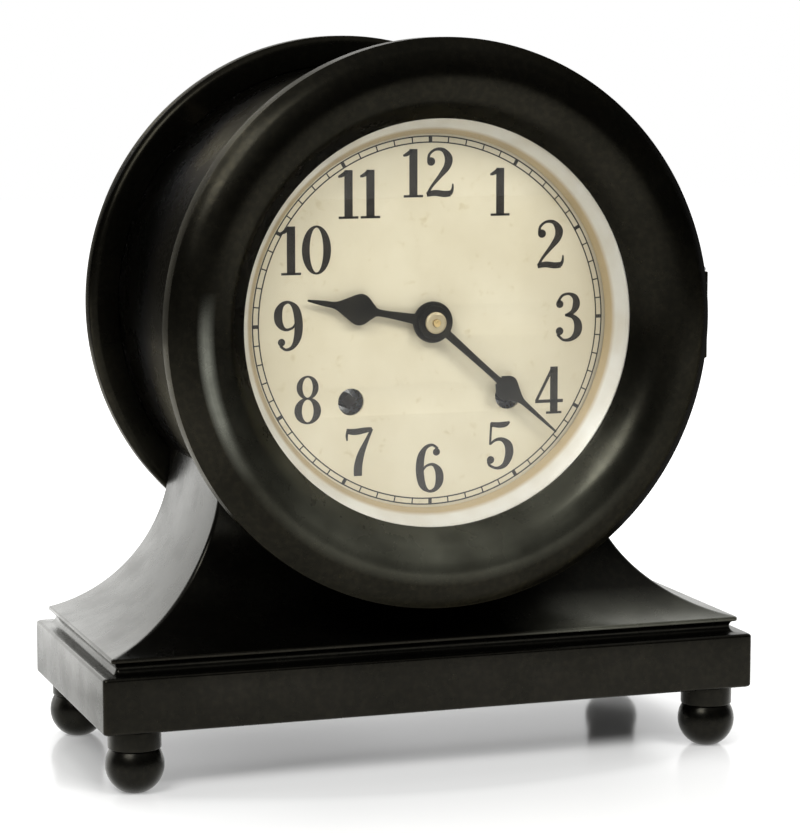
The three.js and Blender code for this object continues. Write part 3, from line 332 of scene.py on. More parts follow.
def silvered():
    """Silvered ring, yellowed in clouds, with painted shade in brass-brown along its inner lip."""
    m = Finish("silvered_ring", Metallic=0.25)
    tone = m.ramp(m.noise(70, 6), (0.35, (0.63, 0.59, 0.50)), (0.65, (0.71, 0.69, 0.62)))
    # Painted shade: a brass-brown band along the inner lip where the ring meets the dial
    lip = m.rise(m.radius(), 73.6, 74.8, 0.9, 0.0)
    m.link(m.mix(lip, tone, (0.42, 0.31, 0.15)), "Base Color")
    return turned(m, 0.32, 0.50)


def steel(name, colour, dull, rough):
    """Polished steel with grain along its length."""
    m = Finish(name, Metallic=1.0)
    m.link(m.ramp(m.noise(110, 5), (0.35, dull), (0.7, colour)), "Base Color")
    m.link(m.grey(m.noise(700, 3, (1, 0.15, 1)), rough - 0.05, rough + 0.12), "Roughness")
    m.bump(m.noise(1800, 2, (1, 0.1, 1)), depth=0.015, strength=0.3)
    return m.material


def enamel():
    """Cream dial: an even coat, warmer in soft clouds, with specks of age and painted shade
    darkening its right edge.
    """
    m = Finish("dial_cream", Metallic=0.0, IOR=1.5)
    cloud = m.ramp(m.noise(30, 5), (0.3, (0.66, 0.585, 0.405)), (0.7, (0.755, 0.685, 0.50)))
    specks = m.ramp(m.noise(230, 3), (0.62, (1, 1, 1)), (0.8, (0.86, 0.82, 0.72)))
    # Painted shade: the dial darkens towards its right edge
    right_shade = m.rise(m.axes()["X"], 36, 80, 0.0, 0.8)
    colour = m.mix(1.0, cloud, specks, "MULTIPLY")
    m.link(m.mix(right_shade, colour, (0.45, 0.39, 0.27)), "Base Color")
    m.link(m.grey(m.noise(90, 3), 0.42, 0.56), "Roughness")
    m.bump(m.noise(600, 3), depth=0.03, strength=0.25)
    return m.material


def ink():
    """Black printing ink, a little uneven."""
    m = Finish("dial_ink", Metallic=0.0, Specular_IOR_Level=0.2)
    tone = m.ramp(m.noise(180, 4), (0.3, (0.010, 0.008, 0.005)), (0.75, (0.026, 0.021, 0.014)))
    m.link(tone, "Base Color")
    m.link(m.grey(m.noise(400, 3), 0.40, 0.60), "Roughness")
    m.bump(m.noise(1200, 2), depth=0.02, strength=0.3)
    return m.material


def clear_glass():
    """Flat clear glass with the faintest wave in its polish."""
    m = Finish("clear_glass", Base_Color=(0.985, 0.995, 0.99), Roughness=0.0, IOR=1.46,
               Transmission_Weight=1.0)
    m.bump(m.noise(14, 2), depth=0.02, strength=0.04)
    return m.material


# Dark, light, roughness and tint of the rim
CASE_TONES = ((0.010, 0.0095, 0.007), (0.021, 0.0195, 0.0145), 0.27, (0.35, 0.34, 0.30))
BASE_TONES = ((0.010, 0.0097, 0.0075), (0.019, 0.018, 0.0145), 0.25, (1, 1, 0.98))
BRONZE = bronze("dark_bronze", *CASE_TONES)
# The bezel carries a painted sheen in its hollow and a painted highlight along the left of its
# crest.
BRONZE_BEZEL = bronze("dark_bronze_bezel", *CASE_TONES,
                      (bezel_hollow, PAINTED_SHEEN, 45, 0.55), (bezel_crest, CREST_HIGHLIGHT, 90, 0.6))
# The base carries the painted sheen on the right of the saddle's front foot.
BRONZE_BASE = bronze("dark_bronze_base", *BASE_TONES, (base_ledge, PAINTED_SHEEN, 45, 0.55))
BRASS = brass("movement_brass", (0.80, 0.60, 0.28), (0.60, 0.42, 0.17), 0.26)
NUT_BRASS = brass("nut_brass", (0.52, 0.44, 0.28), (0.36, 0.29, 0.17), 0.42, 0.6)
BELL = brass("bell_metal", (0.83, 0.63, 0.31), (0.70, 0.50, 0.22), 0.18)
SILVERED = silvered()
STEEL = steel("polished_steel", (0.60, 0.61, 0.62), (0.42, 0.42, 0.43), 0.24)
BLUED = steel("blued_spring", (0.055, 0.085, 0.18), (0.03, 0.05, 0.12), 0.25)
BLACKENED = steel("blackened_hands", (0.024, 0.021, 0.015), (0.012, 0.011, 0.008), 0.36)
# Near-black steel for the winding arbors: painted shade for the deep winding holes.
DARK_STEEL = steel("dark_steel", (0.026, 0.021, 0.017), (0.014, 0.012, 0.010), 0.42)
ENAMEL = enamel()
INK = ink()
GLASS = clear_glass()


# Making meshes

def finish_mesh(obj, material, body, replaced=(), sharp=34):
    """Gives a new piece its finish, its smooth shading and the CAD body it moves with."""
    mesh = obj.data
    work = bmesh.new()
    work.from_mesh(mesh)
    bmesh.ops.remove_doubles(work, verts=work.verts, dist=1e-7)
    bmesh.ops.recalc_face_normals(work, faces=work.faces)
    work.to_mesh(mesh)
    work.free()
    mesh.materials.clear()
    mesh.materials.append(material)
    mesh.shade_smooth()
    mesh.set_sharp_from_angle(angle=math.radians(sharp))
    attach(obj, body)
    if replaced:
        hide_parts(*replaced)


def mesh_object(name, points, faces):
    mesh = bpy.data.meshes.new(name)
    mesh.from_pydata([(x * MM, y * MM, z * MM) for x, y, z in points], [], faces)
    obj = bpy.data.objects.new(name, mesh)
    scene.collection.objects.link(obj)
    return obj


def about_y(x, z):
    """An axis from front to back, to turn an outline about."""
    return lambda r, along, angle: (x + r * math.cos(angle), along, z + r * math.sin(angle))


def about_z(x, y, foot):
    """An upright axis, to turn an outline about."""
    return lambda r, along, angle: (x + r * math.cos(angle), y + r * math.sin(angle), foot + along)


def lathe(name, outline, sides=160, where=about_y(0, AXIS)):
    """A closed (radius, along) outline turned about an axis, by default that of the dial."""
    points, faces, rows = [], [], []
    for r, along in outline:
        if r < 1e-6:
            rows.append([len(points)] * sides)
            points.append(where(0, along, 0))
        else:
            rows.append(list(range(len(points), len(points) + sides)))
            points += [where(r, along, TURN * k / sides) for k in range(sides)]
    for a, b in zip(rows, rows[1:] + rows[:1]):
        for k in range(sides):
            n = (k + 1) % sides
            face = []
            for v in (a[k], a[n], b[n], b[k]):
                if v not in face:
                    face.append(v)
            if len(face) > 2:
                faces.append(face)
    return mesh_object(name, points, faces)


def rounded(corners, steps=5):
    """A closed outline from (a, b, radius) corners, each rounded by its radius."""
    out = []
    for i, (x, y, r) in enumerate(corners):
        p = Vector((x, y))
        if r <= 0:
            out.append((x, y))
            continue
        to_a = Vector(corners[i - 1][:2]) - p
        to_b = Vector(corners[(i + 1) % len(corners)][:2]) - p
        room = 0.49 * min(to_a.length, to_b.length)
        to_a.normalize()
        to_b.normalize()
        half = to_a.angle(to_b) / 2
        cut = min(r / math.tan(half), room)
        radius = cut * math.tan(half)
        centre = p + (to_a + to_b).normalized() * (radius / math.sin(half))
        start = p + to_a * cut - centre
        end = p + to_b * cut - centre
        first = math.atan2(start.y, start.x)
        sweep_by = (math.atan2(end.y, end.x) - first + math.pi) % TURN - math.pi
        for k in range(steps + 1):
            angle = first + sweep_by * k / steps
            out.append((centre.x + radius * math.cos(angle), centre.y + radius * math.sin(angle)))
    return out


def catmull(points, steps):
    """A smooth line through points of any size, steps samples to each span."""
    out = []
    last = len(points) - 1
    for i in range(last):
        span = list(zip(*(points[min(max(i + k, 0), last)] for k in (-1, 0, 1, 2))))
        for s in range(steps):
            t = s / steps
            out.append(tuple(
                0.5 * (2 * b + (c - a) * t
                       + (2 * a - 5 * b + 4 * c - d) * t * t
                       + (3 * b - a - 3 * c + d) * t ** 3)
                for a, b, c, d in span
            ))
    out.append(tuple(points[-1]))
    return out


def evaluated_mesh(obj):
    bpy.context.view_layer.update()
    return bpy.data.meshes.new_from_object(obj.evaluated_get(bpy.context.evaluated_depsgraph_get()))


def carve(obj, tools):
    """Cuts tool objects out of obj for good, and clears the tools away."""
    for tool in tools:
        modifier = obj.modifiers.new("cut", "BOOLEAN")
        modifier.operation = "DIFFERENCE"
        modifier.solver = "EXACT"
        modifier.object = tool
        made = evaluated_mesh(obj)
        obj.modifiers.clear()
        obj.data = made
        bpy.data.objects.remove(tool)


def filled(name, loops, y_middle, thickness, bevel, turn=0.0):
    """A flat piece from outlines in the dial's plane; inner loops are holes."""
    curve = bpy.data.curves.new(name, "CURVE")
    curve.dimensions = "2D"
    curve.fill_mode = "BOTH"
    curve.extrude = (thickness / 2 - bevel) * MM
    curve.bevel_depth = bevel * MM
    curve.bevel_resolution = 2
    curve.offset = -bevel * MM
    for loop in loops:
        spline = curve.splines.new("POLY")
        spline.points.add(len(loop) - 1)
        spline.use_cyclic_u = True
        for point, (x, z) in zip(spline.points, loop):
            point.co = (x * MM, z * MM, 0, 1)
    shape = bpy.data.objects.new(name + "_outline", curve)
    scene.collection.objects.link(shape)
    mesh = evaluated_mesh(shape)
    bpy.data.objects.remove(shape)
    place = Matrix.Translation((0, y_middle * MM, AXIS * MM))
    mesh.transform(place @ Matrix.Rotation(math.pi / 2, 4, "X") @ Matrix.Rotation(-turn, 4, "Z"))
    obj = bpy.data.objects.new(name, mesh)
    scene.collection.objects.link(obj)
    return obj


def ring_loop(r, sides, centre=(0, 0)):
    return [(centre[0] + r * math.cos(TURN * k / sides), centre[1] + r * math.sin(TURN * k / sides))
            for k in range(sides)]


def box_object(name, low, high):
    xs, ys, zs = zip(low, high)
    points = [(x, y, z) for x in xs for y in ys for z in zs]
    faces = [(0, 1, 3, 2), (4, 6, 7, 5), (0, 4, 5, 1), (2, 3, 7, 6), (0, 2, 6, 4), (1, 5, 7, 3)]
    return mesh_object(name, points, faces)


# Base: plinth, cove and saddle in one casting

def sweep(z, foot, top, rise, wall):
    """How far the sweep stands out at a height: a hollow arc that ends upright after its rise."""
    flare = foot - top
    radius = (rise ** 2 + flare ** 2) / (2 * flare)
    drop = min(max(SADDLE_FOOT + rise - z, 0), radius + wall)
    return top + radius - math.sqrt((radius + wall) ** 2 - drop ** 2)


def loft(name, sections, corner, steps=5):
    """Rounded rectangles stacked upwards; each is (z, half width, front y, back y)."""
    points, faces = [], []
    for z, w, front, back in sections:
        c, d = (front + back) / 2, (back - front) / 2
        r = min(corner, 0.4 * w, 0.4 * d)
        for sx, sy, start in ((1, 1, 0), (-1, 1, 1), (-1, -1, 2), (1, -1, 3)):
            for k in range(steps + 1):
                angle = math.pi / 2 * (start + k / steps)
                x = sx * (w - r) + r * math.cos(angle)
                y = c + sy * (d - r) + r * math.sin(angle)
                points.append((x, y, z))
    row = 4 * (steps + 1)
    for i in range(len(sections) - 1):
        for k in range(row):
            n = (k + 1) % row
            faces.append((i * row + k, i * row + n, (i + 1) * row + n, (i + 1) * row + k))
    faces.append(tuple(reversed(range(row))))
    faces.append(tuple(range((len(sections) - 1) * row, len(sections) * row)))
    return mesh_object(name, points, faces)


def saddle_sections(wall, count, top):
    """Hollow sides and front, and an upright back."""
    out = []
    for k in range(count + 1):
        z = SADDLE_FOOT + (top - SADDLE_FOOT) * (k / count) ** 2
        w = sweep(z, HALF_WIDTH - SADDLE_INSET, SADDLE_HALF, SIDE_RISE, wall)
        reach = sweep(z, PLINTH_DEPTH - 2 * SADDLE_INSET, SADDLE_DEPTH, FRONT_RISE, wall)
        out.append((z, w, SADDLE_BACK - reach, SADDLE_BACK - wall))
    return out


def inset(z, by):
    """The plinth's outline at a height, drawn in all round."""
    return (z, HALF_WIDTH - by, PLINTH_FRONT + by, PLINTH_BACK - by)


def quarter(z, by, radius, start, steps=5):
    """Sections round an edge of the plinth; start is its first angle from the outward side."""
    out = []
    for k in range(steps + 1):
        angle = start + (math.pi / 2) * k / steps
        out.append(inset(z + radius * math.sin(angle), by + radius * (1 - math.cos(angle))))
    return out


def drum_space(name, r):
    return lathe(name, [(0, 2 * FRONT), (r, 2 * FRONT), (r, 2 * BACK), (0, 2 * BACK)])


def make_base():
    outline = quarter(PLINTH_BOTTOM + PLINTH_EDGE, 0, PLINTH_EDGE, -math.pi / 2)
    outline += quarter(PLINTH_TOP - PLINTH_EDGE, 0, PLINTH_EDGE, 0)
    cove = COVE_HEIGHT / 2
    for k in range(COVE_STEPS + 1):
        angle = math.pi * k / COVE_STEPS
        by = LIP_INSET + COVE_HOLLOW * math.sin(angle) + COVE_LEAN * k
        outline.append(inset(PLINTH_TOP + cove - cove * math.cos(angle), by))
    outline += quarter(COVE_TOP + LIP_EDGE, LIP_OUT, LIP_EDGE, -math.pi / 2, steps=3)
    outline += quarter(SADDLE_FOOT - 0.6, LIP_OUT, LIP_EDGE, 0, steps=3)
    outline += saddle_sections(wall=0, count=56, top=SADDLE_TOP + 0.5)
    base = loft("base", outline, corner=1.6)
    inside = [inset(PLINTH_BOTTOM - 1, PLINTH_WALL), inset(PLINTH_SHELF, PLINTH_WALL),
              inset(PLINTH_SHELF + 0.01, THROAT)]
    for z, w, front, back in saddle_sections(SADDLE_WALL, count=24, top=SADDLE_TOP):
        inside.append((z + 0.02, min(w, HALF_WIDTH - THROAT), max(front, PLINTH_FRONT + THROAT),
                       min(back, PLINTH_BACK - THROAT)))
    hollow = loft("hollow", inside, corner=4)
    bosses = [box_object("boss", (x - BOSS, y - BOSS, BOSS_LOW), (x + BOSS, y + BOSS, BOSS_HIGH))
              for x, y in FEET.values()]
    carve(hollow, [drum_space("cradle_back", CRADLE + CRADLE_WALL), *bosses])
    carve(base, [drum_space("cradle", CRADLE), hollow])
    finish_mesh(base, BRONZE_BASE, "case", ["base_casting"], sharp=30)


make_base()


# Ball feet

def make_feet():
    ball, flat, seam, collar, stud, stud_length = 11.3, 4.0, 9.5, 10.2, 3, 11
    middle = math.sqrt(ball ** 2 - flat ** 2)
    low, high = -math.acos(flat / ball), math.acos(seam / ball)
    steps = 32
    angles = [low + (high - low) * k / steps for k in range(steps + 1)]
    arc = [(ball * math.cos(angle), middle + ball * math.sin(angle)) for angle in angles]
    seam_height = arc[-1][1]
    top = PLINTH_BOTTOM - SLIP
    neck = rounded([
        (seam - 0.2, seam_height + 0.2, 0),
        (collar, seam_height + 0.4, 0.5),
        (collar, top, 0.3),
        (stud, top, 0),
        (stud, top + stud_length, 0.3),
    ], steps=4)
    outline = [(0, 0), (flat - 0.3, 0), *arc[1:], *neck, (0, top + stud_length)]
    for name, (x, y) in FEET.items():
        foot = lathe(f"ball_foot_{name}", outline, sides=64, where=about_z(x, y, 0))
        finish_mesh(foot, BRONZE_BASE, "case", [f"foot_{name}"], sharp=40)


make_feet()


# Drum, its rear ring and the back cover

drum_outline = rounded([
    (DIAL_RECESS, DRUM_FRONT, 0.4),
    (DRUM_RADIUS, DRUM_FRONT, 0.6),
    (DRUM_RADIUS, BACK, 0.3),
    (COVER_RADIUS + PLAY, BACK, 0.6),
    (COVER_RADIUS + PLAY, COVER_SEAT, 0.2),
    (REAR_LIP, COVER_SEAT, 0.4),
    (REAR_LIP, REAR_LIP_FRONT, 0.4),
    (DRUM_BORE, REAR_LIP_FRONT, 0.4),
    (DRUM_BORE, LEDGE_REAR, 0.4),
    (LEDGE_BORE, LEDGE_REAR, 0.4),
    (LEDGE_BORE, LEDGE_FRONT, 0.3),
    (DIAL_RECESS, LEDGE_FRONT, 0.3),
], steps=6)
drum = lathe("drum", drum_outline, sides=200)
finish_mesh(drum, BRONZE, "case", ["case_drum"])

band_outline = rounded([
    (DRUM_RADIUS + SLIP, RING_FRONT, 0.8),
    (RING_RADIUS, RING_FRONT, 3.2),
    (RING_RADIUS, BACK, 3.2),
    (DRUM_RADIUS + SLIP, BACK, 0.3),
], steps=6)
ring_band = lathe("rear_ring_band", band_outline, sides=200)
finish_mesh(ring_band, BRONZE, "case", ["rear_ring"])

# Shares of the cover's radius, and how far its sheet is raised there
COVER_PROFILE = ((0, 3.4), (0.6, 3.25), (0.73, 2.95), (0.755, 2.3),
                 (0.785, 0.6), (0.81, 0.05), (0.9, 0), (1, 0))
cover_seat = COVER_SEAT + SLIP
cover_line = [(COVER_RADIUS * share, rise) for share, rise in COVER_PROFILE]
cover_low = [(r, cover_seat + rise) for r, rise in cover_line]
cover_edge = [(COVER_RADIUS, cover_seat + 1.2), (COVER_RADIUS - 0.4, cover_seat + COVER_SHEET)]
cover_high = [(r + (0.9 if 0 < r < COVER_RADIUS else 0), cover_seat + COVER_SHEET + rise)
              for r, rise in cover_line]
cover_outline = cover_low + cover_edge + cover_high[-2::-1]
cover = lathe("spun_cover", cover_outline)
finish_mesh(cover, BRONZE, "case", ["back_cover"], sharp=40)


def make_screw(number, angle):
    """A slotted cheese-head screw of the cover, its head towards the back."""
    head, shank, tip, height = 1.9, 1.0, 0.7, 1.4
    under = COVER_SEAT + 1.7
    end = COVER_SEAT - 3
    reach = (REAR_LIP + COVER_RADIUS) / 2
    x, z = reach * math.cos(angle), AXIS + reach * math.sin(angle)
    outline = [
        (0, under + height),
        (head - 0.35, under + height),
        (head, under + height - 0.35),
        (head, under),
        (shank, under),
        (shank, end + 0.4),
        (tip, end),
        (0, end),
    ]
    screw = lathe(f"cover_screw_{number}", outline, sides=32, where=about_y(x, z))
    length, floor, half = 2.5, under + 0.75, 0.28
    slot = box_object("slot", (x - length, floor, z - half), (x + length, under + 3, z + half))
    carve(screw, [slot])
    finish_mesh(screw, STEEL, "case", [f"back_cover_screw_{number}"], sharp=30)


for k in range(3):
    make_screw(k + 1, math.pi / 2 + TURN * k / 3)


# Bezel with glass and sight ring

bezel_face = catmull([
    (DIAL_OPENING, LIP),
    (DIAL_OPENING + 0.25 * BEZEL_WIDTH, FRONT + 3.2),
    (DIAL_OPENING + 0.54 * BEZEL_WIDTH, FRONT),
    (BEZEL_RADIUS - 5.2, FRONT + 2.4),
    (BEZEL_RADIUS, FRONT + 6.4),
], steps=14)
bezel_rear = rounded([
    bezel_face[-1] + (0,),
    (BEZEL_RADIUS, BEZEL_REAR, 2.2),
    (GLASS_SEAT, BEZEL_REAR, 0.4),
    (GLASS_SEAT, GLASS_FRONT, 0.2),
    (DIAL_OPENING, GLASS_FRONT, 0.3),
    bezel_face[0] + (0,),
], steps=6)
bezel = lathe("bezel_ring", bezel_face[1:-1] + bezel_rear, sides=240)
finish_mesh(bezel, BRONZE_BEZEL, "bezel", ["bezel"], sharp=40)

# The rings at GLASS_FLAT keep the smooth shading of the glass flat up to its rounded rim.
glass_outline = rounded([
    (0, GLASS_FRONT + SLIP, 0),
    (GLASS_FLAT, GLASS_FRONT + SLIP, 0),
    (GLASS_RADIUS, GLASS_FRONT + SLIP, 0.25),
    (GLASS_RADIUS, GLASS_REAR, 0.25),
    (GLASS_FLAT, GLASS_REAR, 0),
    (0, GLASS_REAR, 0),
], steps=3)
glass = lathe("bezel_glass", glass_outline, sides=120)
finish_mesh(glass, GLASS, "bezel", ["glass"], sharp=30)
glass.visible_shadow = False
glass.visible_diffuse = False

ring_outline = rounded([
    (DIAL_OPENING + 0.3, GLASS_REAR + SLIP, 0.2),
    (GLASS_RADIUS, GLASS_REAR + SLIP, 0.2),
    (DIAL_OPENING - 3.8, DIAL_FACE - 1.2, 0.3),
    (DIAL_OPENING - 6.4, DIAL_FACE - 1.2, 0.4),
], steps=4)
inner_ring = lathe("inner_ring", ring_outline, sides=200)
finish_mesh(inner_ring, SILVERED, "bezel", ["sight_ring"], sharp=40)


# Hinge

HINGE_X = BEZEL_RADIUS + 1.5
HINGE_Y = BEZEL_REAR + 1
HINGE_HALF = 17
MIDDLE_HALF = 7
MIDDLE_ROOM = MIDDLE_HALF + 0.3
ABOUT_HINGE = about_z(HINGE_X, HINGE_Y, AXIS)


def knuckle(low, high):
    bore, barrel = 1.65, 3
    outline = rounded([
        (bore, low, 0.1),
        (barrel, low, 0.35),
        (barrel, high, 0.35),
        (bore, high, 0.1),
    ], steps=3)
    return lathe("knuckle", outline, sides=40, where=ABOUT_HINGE)


def hinge_plate(inner, outer, front, thickness, low, high):
    return box_object("plate", (inner, front, AXIS + low), (outer, front + thickness, AXIS + high))


def joined(name, objects):
    """Several meshes as one object, each kept whole."""
    points, faces = [], []
    for obj in objects:
        start = len(points)
        points += [tuple(v.co / MM) for v in obj.data.vertices]
        faces += [[start + v for v in p.vertices] for p in obj.data.polygons]
        bpy.data.objects.remove(obj)
    return mesh_object(name, points, faces)


def make_hinge():
    leaf_front, leaf_sheet = BEZEL_REAR + SLIP, 1.4
    inner, outer = DRUM_RADIUS + 1.5, HINGE_X - 1.8
    leaf = joined("bezel_hinge_leaf", [
        knuckle(MIDDLE_ROOM, HINGE_HALF),
        knuckle(-HINGE_HALF, -MIDDLE_ROOM),
        hinge_plate(inner, outer, leaf_front, leaf_sheet, MIDDLE_ROOM, HINGE_HALF),
        hinge_plate(inner, outer, leaf_front, leaf_sheet, -HINGE_HALF, -MIDDLE_ROOM),
        hinge_plate(inner, HINGE_X - 3.6, leaf_front, leaf_sheet, -MIDDLE_ROOM, MIDDLE_ROOM),
    ])
    finish_mesh(leaf, BRONZE, "bezel", ["hinge_leaf_bezel"], sharp=30)
    web_front, root = leaf_front + leaf_sheet + 0.3, DRUM_RADIUS - 0.2
    web, tab = 2.2, 9
    case_leaf = joined("case_hinge_leaf", [
        knuckle(-MIDDLE_HALF, MIDDLE_HALF),
        hinge_plate(root, outer, web_front, web, -MIDDLE_HALF, MIDDLE_HALF),
        hinge_plate(root, DRUM_RADIUS + 3.5, web_front, tab, -MIDDLE_HALF, MIDDLE_HALF),
    ])
    finish_mesh(case_leaf, BRONZE, "case", ["hinge_leaf_case"], sharp=30)
    pin_outline = [
        (0, -18), (1.1, -18), (1.4, -17.7), (1.4, 17.4),
        (2.2, 17.4), (2.2, 18.5), (1.8, 18.95), (0, 19),
    ]
    pin = lathe("hinge_pivot", pin_outline, sides=32, where=ABOUT_HINGE)
    finish_mesh(pin, STEEL, "case", ["hinge_pin"], sharp=30)


make_hinge()


# Dial and its printing

dial_loops = [ring_loop(DIAL_RADIUS, sides=160)]
dial_loops += [ring_loop(KEY_HOLE, sides=48, centre=at) for at in ((0, 0), *WINDING)]
dial = filled("dial_plate", dial_loops, (DIAL_FACE + DIAL_BACK) / 2, DIAL_THICKNESS, bevel=0.12)
finish_mesh(dial, ENAMEL, "case", ["dial"], sharp=40)

# Numerals one unit high, in thick and thin strokes; a nine is a six turned over.
GLYPHS = {
    0: [("oval", 0, 0.5, (0.31, 0.5), (0.145, 0.455))],
    1: [
        ("bar", -0.088, 0.088, 0.02, 0.99),
        ("bar", -0.21, 0.21, 0, 0.05),
        ("stroke", [(-0.22, 0.855, 0.02), (-0.13, 0.89, 0.04), (-0.03, 0.975, 0.03)]),
    ],
    2: [
        ("ball", -0.185, 0.73, 0.088),
        ("stroke", [
            (-0.245, 0.75, 0.03), (-0.22, 0.88, 0.028), (-0.09, 0.975, 0.028), (0.08, 0.96, 0.045),
            (0.195, 0.80, 0.085), (0.16, 0.62, 0.075), (0.0, 0.42, 0.045), (-0.17, 0.22, 0.03),
            (-0.265, 0.06, 0.03),
        ]),
        ("stroke", [
            (-0.28, 0.055, 0.05), (-0.1, 0.085, 0.062), (0.1, 0.06, 0.065), (0.24, 0.07, 0.06),
        ]),
        ("stroke", [(0.225, 0.06, 0.05), (0.28, 0.15, 0.03), (0.29, 0.27, 0.015)]),
    ],
    3: [
        ("ball", -0.185, 0.775, 0.082),
        ("stroke", [
            (-0.235, 0.80, 0.03), (-0.13, 0.95, 0.028), (0.03, 0.985, 0.03), (0.165, 0.90, 0.065),
            (0.185, 0.74, 0.08), (0.10, 0.60, 0.05), (-0.06, 0.535, 0.025),
        ]),
        ("stroke", [
            (-0.06, 0.54, 0.025), (0.12, 0.50, 0.05), (0.225, 0.36, 0.085), (0.215, 0.17, 0.085),
            (0.08, 0.035, 0.045), (-0.10, 0.02, 0.028), (-0.235, 0.14, 0.03),
        ]),
        ("ball", -0.185, 0.205, 0.085),
    ],
    4: [
        ("bar", 0.02, 0.19, 0.02, 0.995),
        ("bar", -0.07, 0.28, 0, 0.05),
        ("stroke", [(0.075, 0.975, 0.032), (-0.1, 0.64, 0.032), (-0.285, 0.29, 0.032)]),
        ("bar", -0.315, 0.31, 0.235, 0.305),
    ],
    5: [
        ("stroke", [
            (-0.19, 0.955, 0.045), (0.0, 0.93, 0.06), (0.15, 0.945, 0.055), (0.235, 0.99, 0.018),
        ]),
        ("stroke", [(-0.175, 0.98, 0.024), (-0.19, 0.75, 0.024), (-0.2, 0.52, 0.024)]),
        ("stroke", [
            (-0.2, 0.53, 0.022), (-0.08, 0.615, 0.03), (0.07, 0.62, 0.045), (0.205, 0.5, 0.085),
            (0.225, 0.3, 0.09), (0.13, 0.09, 0.06), (-0.04, 0.02, 0.03), (-0.2, 0.08, 0.028),
            (-0.245, 0.17, 0.03),
        ]),
        ("ball", -0.19, 0.2, 0.082),
    ],
    6: [
        ("stroke", [
            (0.17, 0.90, 0.03), (0.05, 0.985, 0.028), (-0.1, 0.93, 0.045), (-0.2, 0.74, 0.08),
            (-0.225, 0.45, 0.088), (-0.17, 0.16, 0.075), (-0.03, 0.02, 0.03), (0.12, 0.06, 0.05),
            (0.205, 0.22, 0.085), (0.19, 0.43, 0.08), (0.07, 0.57, 0.035), (-0.08, 0.55, 0.025),
            (-0.17, 0.45, 0.025),
        ]),
        ("ball", 0.14, 0.835, 0.078),
    ],
    7: [
        ("stroke", [
            (-0.27, 0.935, 0.055), (-0.1, 0.92, 0.065), (0.1, 0.945, 0.06), (0.26, 0.965, 0.04),
        ]),
        ("stroke", [(-0.262, 0.99, 0.02), (-0.285, 0.85, 0.026), (-0.275, 0.74, 0.016)]),
        ("stroke", [
            (0.262, 0.97, 0.028), (0.14, 0.72, 0.045), (0.02, 0.45, 0.075), (-0.04, 0.2, 0.09),
            (-0.045, 0.0, 0.088),
        ]),
    ],
    8: [
        ("oval", 0, 0.755, (0.235, 0.245), (0.11, 0.205)),
        ("oval", 0, 0.275, (0.285, 0.275), (0.125, 0.232)),
    ],
}


class Printing:
    """Thin printed shapes in one mesh; place is a function that puts their points on the dial."""

    def __init__(self):
        self.points = []
        self.faces = []

    def band(self, left, right, closed=False):
        """A closed strip between two lines of (x, z) points."""
        start = len(self.points)
        count = len(left)
        for x, z in [*left, *right]:
            self.points.append((x, INK_FRONT, AXIS + z))
            self.points.append((x, INK_REAR, AXIS + z))

        def corner(side, i, rear):
            return start + 2 * (side * count + i % count) + rear

        for i in range(count if closed else count - 1):
            j = i + 1
            for a, b in (((0, 0), (1, 0)), ((1, 0), (1, 1)), ((1, 1), (0, 1)), ((0, 1), (0, 0))):
                self.faces.append((corner(a[0], i, a[1]), corner(b[0], i, b[1]),
                                   corner(b[0], j, b[1]), corner(a[0], j, a[1])))
        if not closed:
            for i in (0, count - 1):
                ends = ((0, 0), (1, 0), (1, 1), (0, 1))
                self.faces.append([corner(side, i, rear) for side, rear in ends])

    def stroke(self, points, place):
        """A pen stroke through (x, y, half width) points."""
        line = catmull(points, steps=8)
        left, right = [], []
        for i, (x, y, half) in enumerate(line):
            a, b = line[max(i - 1, 0)], line[min(i + 1, len(line) - 1)]
            length = math.hypot(b[0] - a[0], b[1] - a[1]) or 1
            nx, ny = -(b[1] - a[1]) / length, (b[0] - a[0]) / length
            left.append(place(x + nx * half, y + ny * half))
            right.append(place(x - nx * half, y - ny * half))
        self.band(left, right)

    def oval(self, x, y, outer, inner, place):
        angles = [TURN * k / 48 for k in range(48)]
        lines = [[place(x + rx * math.cos(angle), y + ry * math.sin(angle)) for angle in angles]
                 for rx, ry in (outer, inner)]
        self.band(*lines, closed=True)

    def ball(self, x, y, r, place):
        angles = [math.pi * k / 14 for k in range(15)]
        half = [(x - r * math.cos(angle), r * math.sin(angle)) for angle in angles]
        self.band([place(px, y + h) for px, h in half], [place(px, y - h) for px, h in half])

    def bar(self, x0, x1, y0, y1, place):
        self.band([place(x0, y0), place(x0, y1)], [place(x1, y0), place(x1, y1)])

    def digit(self, which, place):
        def over(x, y):
            return place(-x, 1 - y)

        draw = {"bar": self.bar, "ball": self.ball, "oval": self.oval, "stroke": self.stroke}
        glyph, put = (GLYPHS[6], over) if which == 9 else (GLYPHS[which], place)
        for kind, *shape in glyph:
            draw[kind](*shape, put)


def at_hour(hour, shift):
    """Puts the points of an upright digit at its hour."""
    angle = math.radians(90 - 30 * hour)
    x0, z0 = NUMERAL_RADIUS * math.cos(angle), NUMERAL_RADIUS * math.sin(angle)
    return lambda x, y: (x0 + (x + shift) * NUMERAL_HEIGHT, z0 + (y - 0.5) * NUMERAL_HEIGHT)


def at_minute(minute):
    """Turns points from twelve round to a minute."""
    turn = TURN * minute / 60
    return lambda x, y: (x * math.cos(turn) + y * math.sin(turn),
                         y * math.cos(turn) - x * math.sin(turn))


